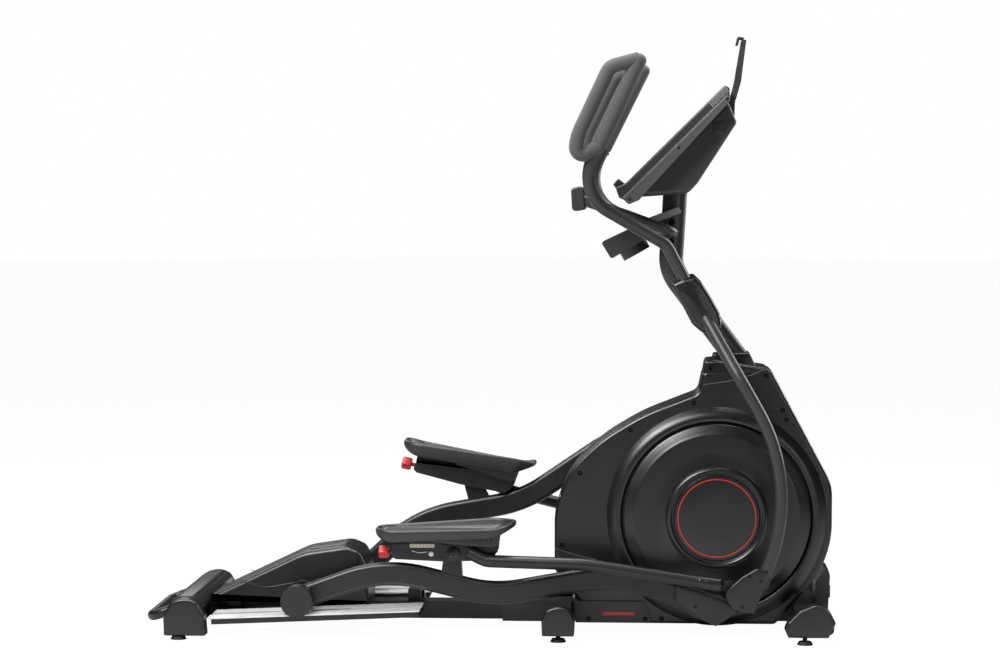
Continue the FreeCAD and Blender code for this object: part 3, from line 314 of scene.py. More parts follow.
# %% [markdown]
# New pieces are grids of points. Rows run along the piece and columns run round it, and neighbours
# join into quads. Two rows that close to a point, and a last column that meets the first, are merged
# afterwards, so that every piece is a closed skin whose faces point outwards.

# %% From grids to a piece
def faces_of(grid, first=0, caps=True):
    """Quads between neighbouring points of a grid (rows, columns, 3) that closes round its columns."""
    rows, columns = grid.shape[:2]
    index = np.arange(rows * columns).reshape(rows, columns) + first
    beside = np.roll(index, -1, axis=1)
    quads = np.stack([index[:-1], beside[:-1], beside[1:], index[1:]], -1).reshape(-1, 4)
    ends = [index[0][::-1].tolist(), index[-1].tolist()] if caps else []
    return quads.tolist() + ends


def joined(name, grids, body, finish, crease=38, caps=True):
    """One piece from closed grids: doubles merged, faces out, smooth but for its sharp edges."""
    faces, first = [], 0
    for grid in grids:
        faces += faces_of(grid, first, caps)
        first += grid.shape[0] * grid.shape[1]
    mesh = bpy.data.meshes.new(name)
    mesh.from_pydata(np.concatenate([grid.reshape(-1, 3) for grid in grids]).tolist(), [], faces)
    shape = bmesh.new()
    shape.from_mesh(mesh)
    bmesh.ops.remove_doubles(shape, verts=shape.verts, dist=2e-5)
    bmesh.ops.dissolve_degenerate(shape, edges=shape.edges, dist=1e-6)
    bmesh.ops.recalc_face_normals(shape, faces=shape.faces)
    shape.to_mesh(mesh)
    shape.free()
    mesh.shade_smooth()
    mesh.set_sharp_from_angle(angle=math.radians(crease))
    mesh.materials.append(finishes[finish].material)
    made = bpy.data.objects.new(name, mesh)
    bpy.context.scene.collection.objects.link(made)
    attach(made, body)
    return made


def lathe(profile, centre, count=128):
    """Radius r and height h of a profile turned about the Y axis: (r cos t, h, r sin t)."""
    profile = np.asarray(profile, float) / 1000
    angle = np.linspace(0, 2 * np.pi, count, endpoint=False)
    radius, height = profile[:, :1], profile[:, 1:]
    return np.stack([centre[0] + radius * np.cos(angle), height + 0 * angle,
                     centre[1] + radius * np.sin(angle)], -1)


def flip(grid):
    """The mirror image across the middle plane."""
    return grid * np.array([1, -1, 1])


def rounded(corners, steps=7):
    """An outline in millimetres whose corners (x, z, radius) are arcs that touch both their sides."""
    corners = np.asarray(corners, float)
    point, radius = corners[:, :2], corners[:, 2]
    into = point - np.roll(point, 1, axis=0)
    into /= np.linalg.norm(into, axis=1)[:, None]
    out = np.roll(into, -1, axis=0)
    turn = np.arctan2(into[:, 0] * out[:, 1] - into[:, 1] * out[:, 0], (into * out).sum(1))
    reach = radius * np.tan(np.abs(turn) / 2)
    start = point - into * reach[:, None]
    side = np.stack([-into[:, 1], into[:, 0]], -1) * np.sign(turn)[:, None]
    middle = start + side * radius[:, None]
    part = np.linspace(0, 1, steps)
    spin = turn[:, None] * part
    arm = start - middle
    arc = np.stack([arm[:, :1] * np.cos(spin) - arm[:, 1:] * np.sin(spin),
                    arm[:, :1] * np.sin(spin) + arm[:, 1:] * np.cos(spin)], -1)
    return (middle[:, None] + arc).reshape(-1, 2)


def shrunk(outline, amount):
    """Each point of a closed outline moved inwards, square to the line through its neighbours."""
    along = np.roll(outline, -1, axis=0) - np.roll(outline, 1, axis=0)
    length = np.maximum(np.linalg.norm(along, axis=1), 1e-9)[:, None]
    area = np.cross(outline, np.roll(outline, -1, axis=0)).sum()
    return outline + np.stack([-along[:, 1], along[:, 0]], -1) / length * amount * np.sign(area)


def panel(outline, low, high, edge=2.0, steps=4, both=False):
    """A plate from y low to high whose outer edge, or both edges, are a quarter circle."""
    angle = np.linspace(0, np.pi / 2, steps)
    inward, depth = edge * (1 - np.cos(angle)), edge * (1 - np.sin(angle))
    rings = [(step, high - deep) for step, deep in zip(inward, depth)]
    if both:
        rings = [(step, low + deep) for step, deep in zip(inward, depth)][::-1] + rings
    else:
        rings = [(0, low)] + rings
    flat = [shrunk(outline, step) for step, y in rings]
    return np.stack([np.stack([ring[:, 0], np.full(len(ring), y), ring[:, 1]], -1)
                     for ring, (step, y) in zip(flat, rings)]) / 1000


def placed(grid, pivot, angle, side):
    """A grid drawn on the left about a pivot, turned nose up by an angle, moved there, and mirrored."""
    cosine, sine = math.cos(math.radians(angle)), math.sin(math.radians(angle))
    x, y, z = grid[..., 0], grid[..., 1], grid[..., 2]
    sign = -1 if side == "right" else 1
    return np.stack([pivot[0] + x * cosine - z * sine, y * sign, pivot[1] + x * sine + z * cosine], -1)


def pivot_of(joint):
    """A joint's place in the side view, in metres."""
    spot = joints[joint]["pos_m"]
    return spot[0], spot[2]


def slope(first, second, drawn):
    """The turn in degrees that brings a drawn offset onto the line between two pivots."""
    return math.degrees(math.atan2(second[1] - first[1], second[0] - first[0])
                        - math.atan2(drawn[1], drawn[0]))


sides = ("right", "left")
post_pivot = {side: pivot_of(f"pedal_pitch_{side}") for side in sides}
ankle_pivot = {side: pivot_of(f"footplate_tilt_{side}") for side in sides}
roller_pivot = {side: pivot_of(f"arm_level_{side}") for side in sides}
swing_pivot = {side: pivot_of(f"swing_{side}") for side in sides}
carrier_turn = {side: slope(post_pivot[side], ankle_pivot[side], (120, 30)) for side in sides}
arm_turn = {side: slope(roller_pivot[side], post_pivot[side], (470, 146)) for side in sides}
swing_turn = {"right": 0.08, "left": -0.791}    # degrees at rest
crank_spot = pivot_of("crank_spin")


def on_pedal(grid, side):
    """From the drawing about the pedal's pivot to a side's pedal."""
    return placed(grid, post_pivot[side], carrier_turn[side], side)


def on_arm(grid, side):
    """From the drawing about the rear roller to a side's pedal arm."""
    return placed(grid, roller_pivot[side], arm_turn[side], side)


def on_swing(grid, side):
    """From the drawing about the swing pivot to a side's swing arm."""
    return placed(grid, swing_pivot[side], swing_turn[side], side)


print("pedal turn", carrier_turn, "arm turn", arm_turn)

# %% [markdown]
# The big disc is a thin moulded cover: a chamfer from its rim, a flat field, and a round hub with a
# rolled shoulder, a sunk floor and a red ring let into it. It is one profile turned about the crank.

# %% Turning discs
disc_profile = [(0.5, 112), (282, 112), (284, 113), (284, 130), (283.4, 133), (282, 135), (279, 136.6),
                (262, 143.5), (255.5, 146.3), (253.2, 147.6), (250, 148.2), (247, 148.4), (200, 149),
                (159, 149.4), (155.6, 150.4), (154, 153), (153.8, 160), (152.6, 164.4), (149.4, 167.8),
                (145, 169.4), (141.5, 169.2), (138.6, 167.4), (137.2, 164.6), (136.6, 162.4), (134.8, 161.5),
                (131.6, 161.6), (130.4, 162.4), (129.6, 164.4), (128.2, 165.6), (126, 166), (60, 166.9),
                (0.5, 167.2)]
ring_profile = [(119.6, 165.6), (119.6, 166.5), (119.2, 166.9), (116.9, 166.9), (116.5, 166.5),
                (116.5, 165.6)]
for side in sides:
    turned = lathe(disc_profile, crank_spot, 192)
    banded = lathe(ring_profile + ring_profile[:1], crank_spot, 128)
    if side == "right":
        turned, banded = flip(turned), flip(banded)
    disc = joined(f"disc_{side}", [turned], "crank", "disc_black", 28)
    joined(f"hub_ring_{side}", [banded], "crank", "ring_red", caps=False)
    if side == "right":
        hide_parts("crank_discs")
    print("disc", side, len(disc.data.vertices))

# %% [markdown]
# Around each disc the shroud rises in a rolled lip that catches the light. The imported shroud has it
# as a square step, so a turned lip with a full round crown is laid over the step.

# %% Lips of the shroud
lip_profile = [(336, 107), (334, 110.2), (330, 113.5), (325, 118), (319, 123), (312, 127.2), (305, 129.6),
               (299, 130.2), (293.6, 129), (289.8, 126), (287.8, 122), (287, 117), (287, 104), (336, 104)]
for side in sides:
    lip = lathe(lip_profile + lip_profile[:1], crank_spot, 192)
    joined(f"shroud_lip_{side}", [lip if side == "left" else flip(lip)], "frame", "shroud_black",
           40, caps=False)
print("lips 2")

# %% [markdown]
# The grips are foam slipped over the tubes. A section goes along a smooth line: the line is a
# polyline with rounded corners, and each ring of the section stands square to it. The radius swells
# a little between the ends and closes over the tip, as foam does.

# %% Lines and sleeves
def bent_line(corners, steps=10):
    """Points of a polyline in millimetres whose corners (point, radius) are arcs."""
    points = [np.array(point, float) for point, radius in corners]
    line = [points[0][None]]
    for index in range(1, len(points) - 1):
        into = points[index] - points[index - 1]
        out = points[index + 1] - points[index]
        into, out = into / np.linalg.norm(into), out / np.linalg.norm(out)
        turn = math.acos(float(np.clip(into @ out, -1, 1)))
        radius = corners[index][1]
        start = points[index] - into * radius * math.tan(turn / 2)
        inward = out - into * math.cos(turn)
        inward /= np.linalg.norm(inward)
        angle = np.linspace(0, turn, steps)[:, None]
        line.append(start + radius * (np.sin(angle) * into + (1 - np.cos(angle)) * inward))
    line.append(points[-1][None])
    return np.concatenate(line)


def evenly(line, spacing):
    """The same line with points at an even spacing along it."""
    length = np.concatenate([[0], np.cumsum(np.linalg.norm(np.diff(line, axis=0), axis=1))])
    count = max(int(length[-1] / spacing), 2) + 1
    where = np.linspace(0, length[-1], count)
    return np.stack([np.interp(where, length, line[:, axis]) for axis in range(3)], -1)


def sleeve(line, radius, columns=32, reference=(0, 1, 0)):
    """Rings of a radius per point, square to the line: centre + r (cos t side + sin t up)."""
    along = np.gradient(line, axis=0)
    along /= np.linalg.norm(along, axis=1)[:, None]
    side = np.cross(along, np.array(reference, float))
    side /= np.linalg.norm(side, axis=1)[:, None]
    up = np.cross(side, along)
    angle = np.linspace(0, 2 * np.pi, columns, endpoint=False)
    radius = np.broadcast_to(radius, len(line))[:, None, None]
    ring = np.cos(angle)[None, :, None] * side[:, None] + np.sin(angle)[None, :, None] * up[:, None]
    return (line[:, None] + radius * ring) / 1000


def grip_radius(count, radius, start_round, end_round):
    """A plain radius that rounds off like a quarter circle over its first and last stretch."""
    where = np.arange(count) * pitch
    first = np.clip(where / start_round, 0, 1)
    last = np.clip((where[-1] - where) / end_round, 0, 1)
    fall = np.sqrt(1 - (1 - first) ** 2) * np.sqrt(1 - (1 - last) ** 2)
    return np.maximum(radius * fall, 0.05)


# %% Foam grips
upper_bend, upper_top = np.array((-362.0, 300, 333)), np.array((-177.0, 318, 722))
upper_way = (upper_top - upper_bend) / np.linalg.norm(upper_top - upper_bend)
grip_low = upper_bend + upper_way * 150
loop_corners = [((-290, 309, 472), 0), ((-366, 322, 428), 22), ((-358, 328, 500), 150),
                ((-262, 326, 704), 40), ((-176, 318, 727), 0)]
pitch = 3.0     # between rings
for side in sides:
    bar = evenly(np.stack([grip_low, upper_top + upper_way * 23]), pitch)
    loop = evenly(bent_line(loop_corners), pitch)
    shape = [sleeve(bar, grip_radius(len(bar), 23.0, 5, 21)), sleeve(loop, np.full(len(loop), 21.5))]
    grips = joined(f"foam_grip_{side}", [on_swing(grid, side) for grid in shape], f"swing_arm_{side}",
                   "foam_charcoal")
    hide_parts(f"handle_grips_{side}")
    print("grip", side, len(grips.data.vertices))

# %% [markdown]
# A pedal is a shallow dish with a rolled rim that climbs towards the toe. Its outline is a rounded
# rectangle in plan, and each ring of the grid is that outline moved inwards and lifted: out along the
# underside, up the wall, over the rim, down the inner wall and in across the floor to a middle line.

# %% Dished pedals
def along_curve(x, stations):
    """Smooth height over x: a cubic through a few stations, held level past its ends."""
    stations = np.asarray(stations, float)
    place, height = stations[:, 0], stations[:, 1]
    slope_at = np.gradient(height, place)
    x = np.clip(x, place[0], place[-1])
    left = np.clip(np.searchsorted(place, x) - 1, 0, len(place) - 2)
    width = place[left + 1] - place[left]
    part = (x - place[left]) / width
    return ((2 * part ** 3 - 3 * part ** 2 + 1) * height[left] + (part ** 3 - 2 * part ** 2 + part) * width
            * slope_at[left] + (3 * part ** 2 - 2 * part ** 3) * height[left + 1]
            + (part ** 3 - part ** 2) * width * slope_at[left + 1])


outer_rim = [(-237, 80), (-200, 76), (-165, 75), (-127, 80), (-89, 90), (-52, 96), (-7, 96), (39, 89),
             (84, 83), (129, 82), (166, 89), (191, 101)]
inner_rim = [(-237, 77), (-172, 79), (-126, 83), (-99, 91), (-65, 99), (-19, 103), (27, 102), (120, 99),
             (191, 101)]
wall_line = [(-237, 60), (-218, 47), (-195, 39), (-157, 40), (-112, 49), (-67, 59), (-22, 61), (24, 57),
             (76, 50), (129, 55), (163, 72), (191, 86)]
floor_line = [(-237, 70), (-165, 69), (-110, 71), (-60, 72), (0, 69), (60, 65), (130, 69), (188, 88)]
pedal_inner, pedal_outer = 124, 284
plan_outline = rounded([(-237, pedal_inner, 62), (189, pedal_inner, 76), (189, pedal_outer, 76),
                        (-237, pedal_outer, 62)], 16)
plan_middle = np.stack([np.clip(plan_outline[:, 0], -150, 100),
                        np.full(len(plan_outline), (pedal_inner + pedal_outer) / 2)], -1)


def plan_ring(inward, towards=0.0):
    """The plan's outline moved inwards, and then part of the way to the middle line."""
    ring = shrunk(plan_outline, inward)
    return ring * (1 - towards) + plan_middle * towards


def dish_ring(ring, height):
    """A plan ring (x, y) with a height for each point."""
    return np.stack([ring[:, 0], ring[:, 1], height], -1) / 1000


def dish():
    """Rings along the underside, up the wall, over the rim, down inside and across the floor."""
    across = (plan_outline[:, 1] - pedal_inner) / (pedal_outer - pedal_inner)
    rim = (along_curve(plan_outline[:, 0], inner_rim) * (1 - across)
           + along_curve(plan_outline[:, 0], outer_rim) * across)
    grid = []
    for towards, inward, lift in ((1.0, 0, 6), (0.5, 0, 4), (0, 9, 0), (0, 3, 1.2), (0, 0.6, 4)):
        ring = plan_ring(inward, towards)
        grid.append(dish_ring(ring, along_curve(ring[:, 0], wall_line) + lift))
    for inward, drop in ((0, 9), (0.3, 5), (1.6, 2), (4, 0.3), (6.5, 0), (9, 1.2), (11, 3), (12.2, 6)):
        grid.append(dish_ring(plan_ring(inward), rim - drop))
    inner = plan_ring(14)
    edge = along_curve(inner[:, 0], floor_line)
    top = np.maximum(rim - 12, edge)
    for part, inward in ((0.35, 14), (0.7, 16.5), (0.92, 20)):
        grid.append(dish_ring(plan_ring(inward), top * (1 - part) + edge * part))
    for inward, towards in ((26, 0), (26, 0.5), (26, 1.0)):
        ring = plan_ring(inward, towards)
        grid.append(dish_ring(ring, along_curve(ring[:, 0], floor_line)))
    return np.stack(grid)


def pedal_mat(margin, rise):
    """The floor's own surface, a few millimetres in from the wall and lifted."""
    grid = []
    for inward, towards, lift in ((margin, 1, -1), (margin, 0, -1), (margin, 0, rise - 0.8),
                                  (margin + 0.8, 0, rise), (margin, 0.33, rise), (margin, 0.66, rise),
                                  (margin, 1, rise)):
        ring = plan_ring(inward, towards)
        grid.append(dish_ring(ring, along_curve(ring[:, 0], floor_line) + lift))
    return np.stack(grid)


def hinge_lug():
    """The web under the dish that the ankle pin goes through."""
    return panel(rounded([(104, 24, 12), (98, 66, 0), (142, 68, 0), (136, 24, 12)]), 179, 221, 1.5, both=True)


def under_ribs():
    """Side rails under the toe half, with short ribs standing out of them."""
    rail = rounded([(-61, 62, 3), (-61, 37, 5), (0, 32, 30), (52, 27, 30), (124, 23, 6), (136, 34, 8),
                    (134, 62, 3)])
    bars = [panel(rail, 148, 166, 2.0, both=True), panel(rail, 234, 258, 2.0, both=True)]
    for x in np.arange(-52, 130, 14.0):
        back, front, low = x - 1.6, x + 1.6, 38 - 0.08 * x
        outline = rounded([(back, low, 1), (back, 58, 1), (front, 58, 1), (front, low, 1)], 3)
        bars.append(panel(outline, 256, 262, 0.6))
    return bars


for side in sides:
    body = f"footplate_{side}"
    grids = [on_pedal(grid, side) for grid in [dish(), hinge_lug()] + under_ribs()]
    tray = joined(f"pedal_dish_{side}", grids, body, "tray_grey", 44)
    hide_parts(body)
    joined(f"pedal_mat_{side}", [on_pedal(pedal_mat(27, 2.2), side)], body, "mat_brown")
    edge = plan_ring(25.6)
    line = np.stack([edge[:, 0], edge[:, 1], along_curve(edge[:, 0], floor_line) + 1.2], -1)
    hem = sleeve(np.concatenate([line, line[:2]]), 0.9, 8, (0, 0, 1))
    joined(f"mat_edge_{side}", [on_pedal(hem, side)], body, "label_cream")
    print("pedal", side, len(tray.data.vertices))

# %% [markdown]
# Covers and trims are closed outlines raised into pillows: the outline goes up the wall, rolls over
# a quarter circle and then closes towards its middle while it rises by a small crown.

# %% Pillows, beads and screws
def pillow(outline, low, high, edge, crown=0.0, steps=6, floors=5):
    """Rings of an outline from low to high: wall, quarter circle, and a crown that falls as 1 - t^2."""
    middle = outline.mean(axis=0)
    angle = np.linspace(0, np.pi / 2, steps)
    rings = [(0.0, 0.0, low)]
    rings += [(edge * (1 - math.cos(turn)), 0.0, high - edge + edge * math.sin(turn)) for turn in angle]
    rings += [(edge, part, high + crown * (1 - (1 - part) ** 2)) for part in np.linspace(0, 1, floors)[1:]]
    grid = []
    for inward, towards, y in rings:
        ring = shrunk(outline, inward) * (1 - towards) + middle * towards
        grid.append(np.stack([ring[:, 0], np.full(len(ring), y), ring[:, 1]], -1))
    return np.stack(grid) / 1000


def slab(outline, half, edge):
    """A panel across the middle plane with both its edges rolled."""
    return panel(outline, -half, half, edge, 5, both=True)


def bead(points, radius, bends=()):
    """A thin round line through points (x, y, z), rounded where a bend is given."""
    corners = [(point, bends[index] if index < len(bends) else 0) for index, point in enumerate(points)]
    line = evenly(bent_line(corners), 6.0)
    return sleeve(line, radius, 10, (0, 1, 0.02))


screw_profile = [(0.1, -1.6), (2.4, -1.5), (2.8, 0.2), (4.6, 0.5), (5.0, -0.3), (5.4, -0.4), (6.0, 0.5),
                 (6.8, 0.6), (7.1, -0.4)]


def screw(x, z, plane, size=1.0):
    """A sunk round head with a driver recess, seated in a collared hole."""
    profile = [(r * size, plane + h * size) for r, h in screw_profile]
    return lathe(profile + [(7.1 * size, plane - 2), (0.1, plane - 2)], (x / 1000, z / 1000), 28)


def both_sides(grid):
    """The grid and its mirror image."""
    return [grid, flip(grid)]


# %% [markdown]
# The top of the shroud is a tower round the mast: a front and a back shell meet there along a curved
# line, and a lower collar closes in on the tube. Dark screws sit in round wells all over both shells.

# %% Shroud tower, seams and screws
tower = rounded([(650, 762, 2), (662, 833, 12), (690, 836, 40), (852, 812, 14), (860, 786, 2)], 8)
collar = rounded([(682, 824, 2), (688, 851, 7), (797, 856, 8), (818, 812, 2)], 8)
shell_face, tower_face, strip_face = 110, 108, 118.4
made = joined("shroud_tower", [slab(tower, tower_face, 9), slab(collar, 66, 6)], "frame", "shroud_black")
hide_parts("shroud_collar")
seam_lines = [(((655, 760), (736, 772), (806, 792), (835, 806)), shell_face, 1.5, (0, 200, 120)),
              (((204, 256), (262, 238), (330, 222)), shell_face + 0.2, 1.3, (0, 300)),
              (((662, 826), (700, 829), (846, 806)), tower_face + 0.4, 1.2, (0, 60))]
seams = [grid for spots, face, radius, bends in seam_lines
         for grid in both_sides(bead([(x, face, z) for x, z in spots], radius, bends))]
joined("shell_seams", seams, "frame", "strip_grey")
well_spots = [(627, 705), (434, 621), (280, 488), (226, 268), (895, 683), (908, 655), (1000, 488),
              (1010, 264), (940, 130), (530, 43)]
# The screws and their wells are near-black: black screws, with painted shade in the wells.
wells = [screw(x, z, shell_face + 0.4) for x, z in well_spots]
wells += [screw(677, 812, tower_face + 0.4), screw(845, 788, shell_face + 0.4)]
wells += [screw(x, 43, strip_face) for x in (307, 480)]
made = joined("shell_screws", [grid for well in wells for grid in both_sides(well)], "frame", "black_and_well_shade")
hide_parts("cover_screws")
bar = pillow(rounded([(352, 53, 2), (347, 63, 2), (444, 64, 2), (449, 54, 2)]), 117.5, 118.8, 0.6)
joined("base_marks", both_sides(bar), "frame", "ring_red")
print("tower, seams and wells", len(wells) * 2)

# %% [markdown]
# The swing arms wear two covers each. The upper one is a fat rounded block round the pivot, and the
# lower one is a flat cover with one straight side over the joint with the pedal linkage.

# %% Covers of the swing arms
pivot_outline = rounded([(-82, 58, 12), (-43, 76, 16), (-8, 82, 12), (16, 60, 22), (40, 22, 30),
                         (68, -28, 26), (76, -70, 16), (54, -88, 14), (14, -88, 18), (-16, -62, 26),
                         (-46, -4, 40)], 8)
joint_outline = rounded([(80, -868, 20), (102, -840, 16), (132, -814, 40), (178, -786, 18), (217, -800, 7),
                         (171, -924, 8), (108, -914, 26)], 8)
joint_face = 291
for side in sides:
    body = f"swing_arm_{side}"
    block = pillow(pivot_outline, 104, 174, 16, 5.0, 9, 7)
    flat = pillow(joint_outline, 267.5, joint_face, 5, 1.0)
    seam = bead([(-34, 176.5, 66), (-20, 178.6, 20), (8, 178.6, -20), (30, 176.5, -74)], 0.9, (0, 90, 90))
    made = joined(f"swing_cover_{side}", [on_swing(grid, side) for grid in (block, flat, seam)], body,
                  "cover_black", 32)
    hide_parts(f"swing_covers_{side}")
    # Black screws, with painted shade in their wells.
    heads = [screw(x, z, joint_face + 0.4, 0.72) for x, z in ((155, -810), (188, -825), (134, -902))]
    joined(f"joint_screws_{side}", [on_swing(head, side) for head in heads], body, "black_and_well_shade")
print("swing covers 2")

# %% [markdown]
# On the pedal linkage a leaf-shaped cover closes the front end of each arm, a plastic sleeve ends the
# connecting tube, and domed caps close the pivots. The bracket carries a scale with plain ticks.

# %% Covers and marks of the linkage
leaf_outline = rounded([(1141, 60, 6), (1215, 40, 40), (1296, 12, 30), (1328, -15, 6), (1290, -45, 8),
                        (1263, -61, 8), (1228, -46, 20), (1186, -17, 30), (1141, 15, 8)], 8)
dome_profile = [(20.8, 238.2), (20.6, 239.4), (19.4, 240.6), (16.2, 241.2), (15.4, 240.4), (14.6, 240.4),
                (13.6, 241.6), (9.0, 243.0), (5.4, 243.4), (4.8, 241.8), (0.1, 241.6)]
bracket_face, arm_face, tube_plane = 229.0, 232.6, 255
side_outline = rounded([(-188, -10, 8), (-189, 30, 4), (-150, 31, 20), (-62, 41, 20), (-40, 30, 8),
                        (112, 20, 8), (112, -20, 12), (-30, -24, 20), (-176, -18, 8)])
scale_outline = rounded([(-133, 18, 2), (-133, 29, 2), (-58, 29, 2), (-58, 18, 2)])
nut_profile = [(0.1, 232.8), (6.2, 232.8), (7.8, 232), (8.4, 230.4), (8.4, 229), (0.1, 229)]
sleeve_stations = [738, 739, 760, 762, 803, 809, 812]
sleeve_radii = [19.4, 20.4, 20.4, 21.0, 21.0, 18.5, 14.0]


def tick(x):
    """One short upright mark of the scale."""
    outline = rounded([(x - 0.7, 21, 0.2), (x - 0.7, 26, 0.2), (x + 0.7, 26, 0.2), (x + 0.7, 21, 0.2)], 3)
    return pillow(outline, bracket_face + 0.9, bracket_face + 1.5, 0.1)


def linkage(name, side, grids, body, finish, crease=38):
    """A piece for one side of the linkage, on that side's copy of a body."""
    return joined(f"{name}_{side}", grids, f"{body}_{side}", finish, crease)


for side in sides:
    leaf = on_arm(pillow(leaf_outline, 226, arm_face, 3, 0.4), side)
    rib = [(x, arm_face - 0.8, z) for x, z in ((1143, 57), (1215, 38.4), (1294, 11))]
    linkage("arm_cover", side, [leaf, on_arm(bead(rib, 1.1, (0, 120)), side)], "pedal_arm", "cover_black",
            32)
    # A black screw, with painted shade in its well.
    linkage("arm_screw", side, [on_arm(screw(1201, -2, arm_face + 0.6, 0.6), side)], "pedal_arm",
            "black_and_well_shade")
    way = evenly(np.array([(738.0, tube_plane, -76.4), (812.0, tube_plane, -87.5)]), 2.0)
    collar = sleeve(way, np.interp(way[:, 0], sleeve_stations, sleeve_radii), 40)
    linkage("tube_sleeve", side, [on_pedal(collar, side)], "pedal_bracket", "cover_black",
            30)
    tip = lathe(dome_profile + [(0.1, 236), (20.8, 236)], (0, 0), 48)
    linkage("pivot_dome", side, [on_pedal(tip, side)], "pivot_pin", "cover_black", 30)
    wall = pillow(side_outline, 224, bracket_face + 0.2, 1.2)
    linkage("bracket_side", side, [on_pedal(wall, side)], "pedal_bracket", "arm_black", 32)
    plate = pillow(scale_outline, bracket_face, bracket_face + 1.2, 0.3)
    linkage("scale_plate", side, [on_pedal(plate, side)], "pedal_bracket", "label_cream")
    linkage("scale_ticks", side, [on_pedal(tick(x), side) for x in np.arange(-124, -60, 11.0)],
            "pedal_bracket", "black_and_well_shade")
    nut = lathe(nut_profile, (-0.068, -0.001), 8)
    curve = bead([(x, bracket_face + 0.6, z) for x, z in ((-126, 8), (-104, 1.5), (-80, 5))], 1.0, (0, 40))
    linkage("scale_marks", side, [on_pedal(nut, side), on_pedal(curve, side)], "pedal_bracket",
            "mark_white")
print("linkage covers 2")

# %% [markdown]
# The console is a slab with a lighter strip down each flank, a row of cooling fins at the top, a ledge
# along the bottom of the screen and a small rubber door over its sockets. Its outlines are drawn along
# and square to the slope of the screen.

# %% Console trims
screen_foot = (419, 1373)
screen_way = (math.cos(math.radians(44.7)), math.sin(math.radians(44.7)))
trim_way = (0.711, 0.703)       # the same slope to three figures, for the screws and the line
flank, housing_flank = 206.5, 150


def console_spot(along, square, way):
    """A point of the side view, from its places along and square to a way from the screen's foot."""
    cosine, sine = way
    return (screen_foot[0] + along * cosine - square * sine,
            screen_foot[1] + along * sine + square * cosine)


def on_console(corners, steps=6):
    """A rounded outline from corners (along, square, radius) of the screen's slope."""
    return rounded([(*console_spot(along, square, screen_way), radius) for along, square, radius in corners],
                   steps)


def fin(along):
    """One upright bar of the cooling row."""
    corners = [(along, -22, 0.6), (along, -2, 0.6), (along + 2.6, -2, 0.6), (along + 2.6, -22, 0.6)]
    return pillow(on_console(corners, 3), flank - 1.9, flank + 1.5, 0.4)


strip = on_console([(-40, -27, 4), (404, -27, 3), (394, -45, 5), (-8, -63, 8), (-40, -50, 6)])
joined("console_strip", both_sides(pillow(strip, housing_flank, flank, 2)), "frame", "strip_grey",
       30)
ends = [console_spot(along, -25.5, trim_way) for along in (-40, 404)]
fins = [fin(along) for along in np.arange(344, 410, 5.4)]
fins.append(bead([(x, flank - 1.1, z) for x, z in ends], 0.9))
joined("console_fins", [grid for bar in fins for grid in both_sides(bar)], "frame", "trim_light")
ledge = slab(on_console([(-34, 2, 3), (-31, 25, 5), (-7, 27, 5), (-3, -2, 2)]), 150, 3)
joined("screen_ledge", [ledge], "frame", "tray_grey")
door = on_console([(288, -80, 4), (316, -50, 4), (343, -76, 4), (315, -106, 4)])
flap = on_console([(296, -80, 3), (316, -58, 3), (335, -76, 3), (315, -98, 3)])
door = both_sides(pillow(door, housing_flank - 0.5, housing_flank + 1.4, 0.8))
flap = both_sides(pillow(flap, housing_flank, housing_flank + 3, 1.2, 0.6))
joined("socket_door", door + flap, "frame", "tray_grey")
# Screws and bolts of the console: black, with painted shade in their wells.
heads = [screw(*console_spot(along, square, trim_way), flank + 0.3, 0.62)
         for along, square in ((186, -36), (392, -34), (-26, -44))]
bolts = [screw(x, z, 27.4, 1.3) for x, z in ((559, 1255), (556, 1194))]
joined("console_screws", [grid for head in heads + bolts for grid in both_sides(head)], "frame",
       "black_and_well_shade")
# A grey bracket over the side of the bottle tray, given the light trim grey, which is lighter than the
# bracket itself: a painted highlight where the light falls on the tray's front.
band = pillow(rounded([(482, 1243, 3), (481, 1265, 3), (578, 1302, 5), (588, 1284, 4)]), 60, 68, 2)
joined("bottle_tray_highlight", both_sides(band), "frame", "trim_light")
print("console fins", len(fins) - 1)

# %% [markdown]
# The ends of the three stabilisers wear deep caps with a domed top, a half-round cover lies along the
# rear one, and a smooth hood covers the incline motor between the tracks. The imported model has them
# with plain edges, so they are drawn again here with the full rounding.

# %% Stabiliser caps and the hood
cap_outlines = {
    "rear": ([(-967, 12, 5), (-969, 74, 20), (-946, 112, 28), (-906, 131, 60), (-866, 112, 28),
              (-845, 74, 20), (-840, 12, 5)], 284),
    "middle": ([(172, 20, 5), (170, 70, 18), (186, 100, 28), (220, 110, 50), (254, 100, 28), (270, 70, 18),
                (268, 20, 5)], 278),
    "front": ([(905, 22, 6), (894, 47, 12), (902, 66, 16), (939, 104, 34), (984, 122, 34), (1028, 103, 24),
               (1046, 66, 10), (1034, 42, 8), (1024, 22, 6)], 286)}
caps = [grid for corners, inner in cap_outlines.values()
        for grid in both_sides(pillow(rounded(corners, 9), inner, 329, 8, 1.0, 8))]
arch = rounded([(-963, 90, 2), (-954, 110, 18), (-925, 127, 26), (-887, 127, 26), (-857, 110, 18),
                (-853, 92, 2)], 9)
ridge = [bead([(x, -282, z), (x, 282, z)], 1.2) for x, z in ((-938, 119), (-872, 119))]
made = joined("stabilizer_caps", caps + [slab(arch, 283, 2)] + ridge, "frame", "cover_black",
              30)
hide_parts("stabilizer_covers")
hood_floor = 1000 * min(vertex.co.z for vertex in nodes["incline_cover"].data.vertices)
hood_outline = rounded([(-872, hood_floor + 22, 4), (-868, 98, 10), (-573, 238, 160), (-441, 258, 60),
                        (-398, 240, 34), (-376, 196, 30), (-370, hood_floor + 4, 4)], 10)
hood = [slab(hood_outline, 112, 14)]
hood += both_sides(bead([(-770, 111.6, 152), (-688, 112.4, 128), (-600, 112.4, 145)], 1.0, (0, 90)))
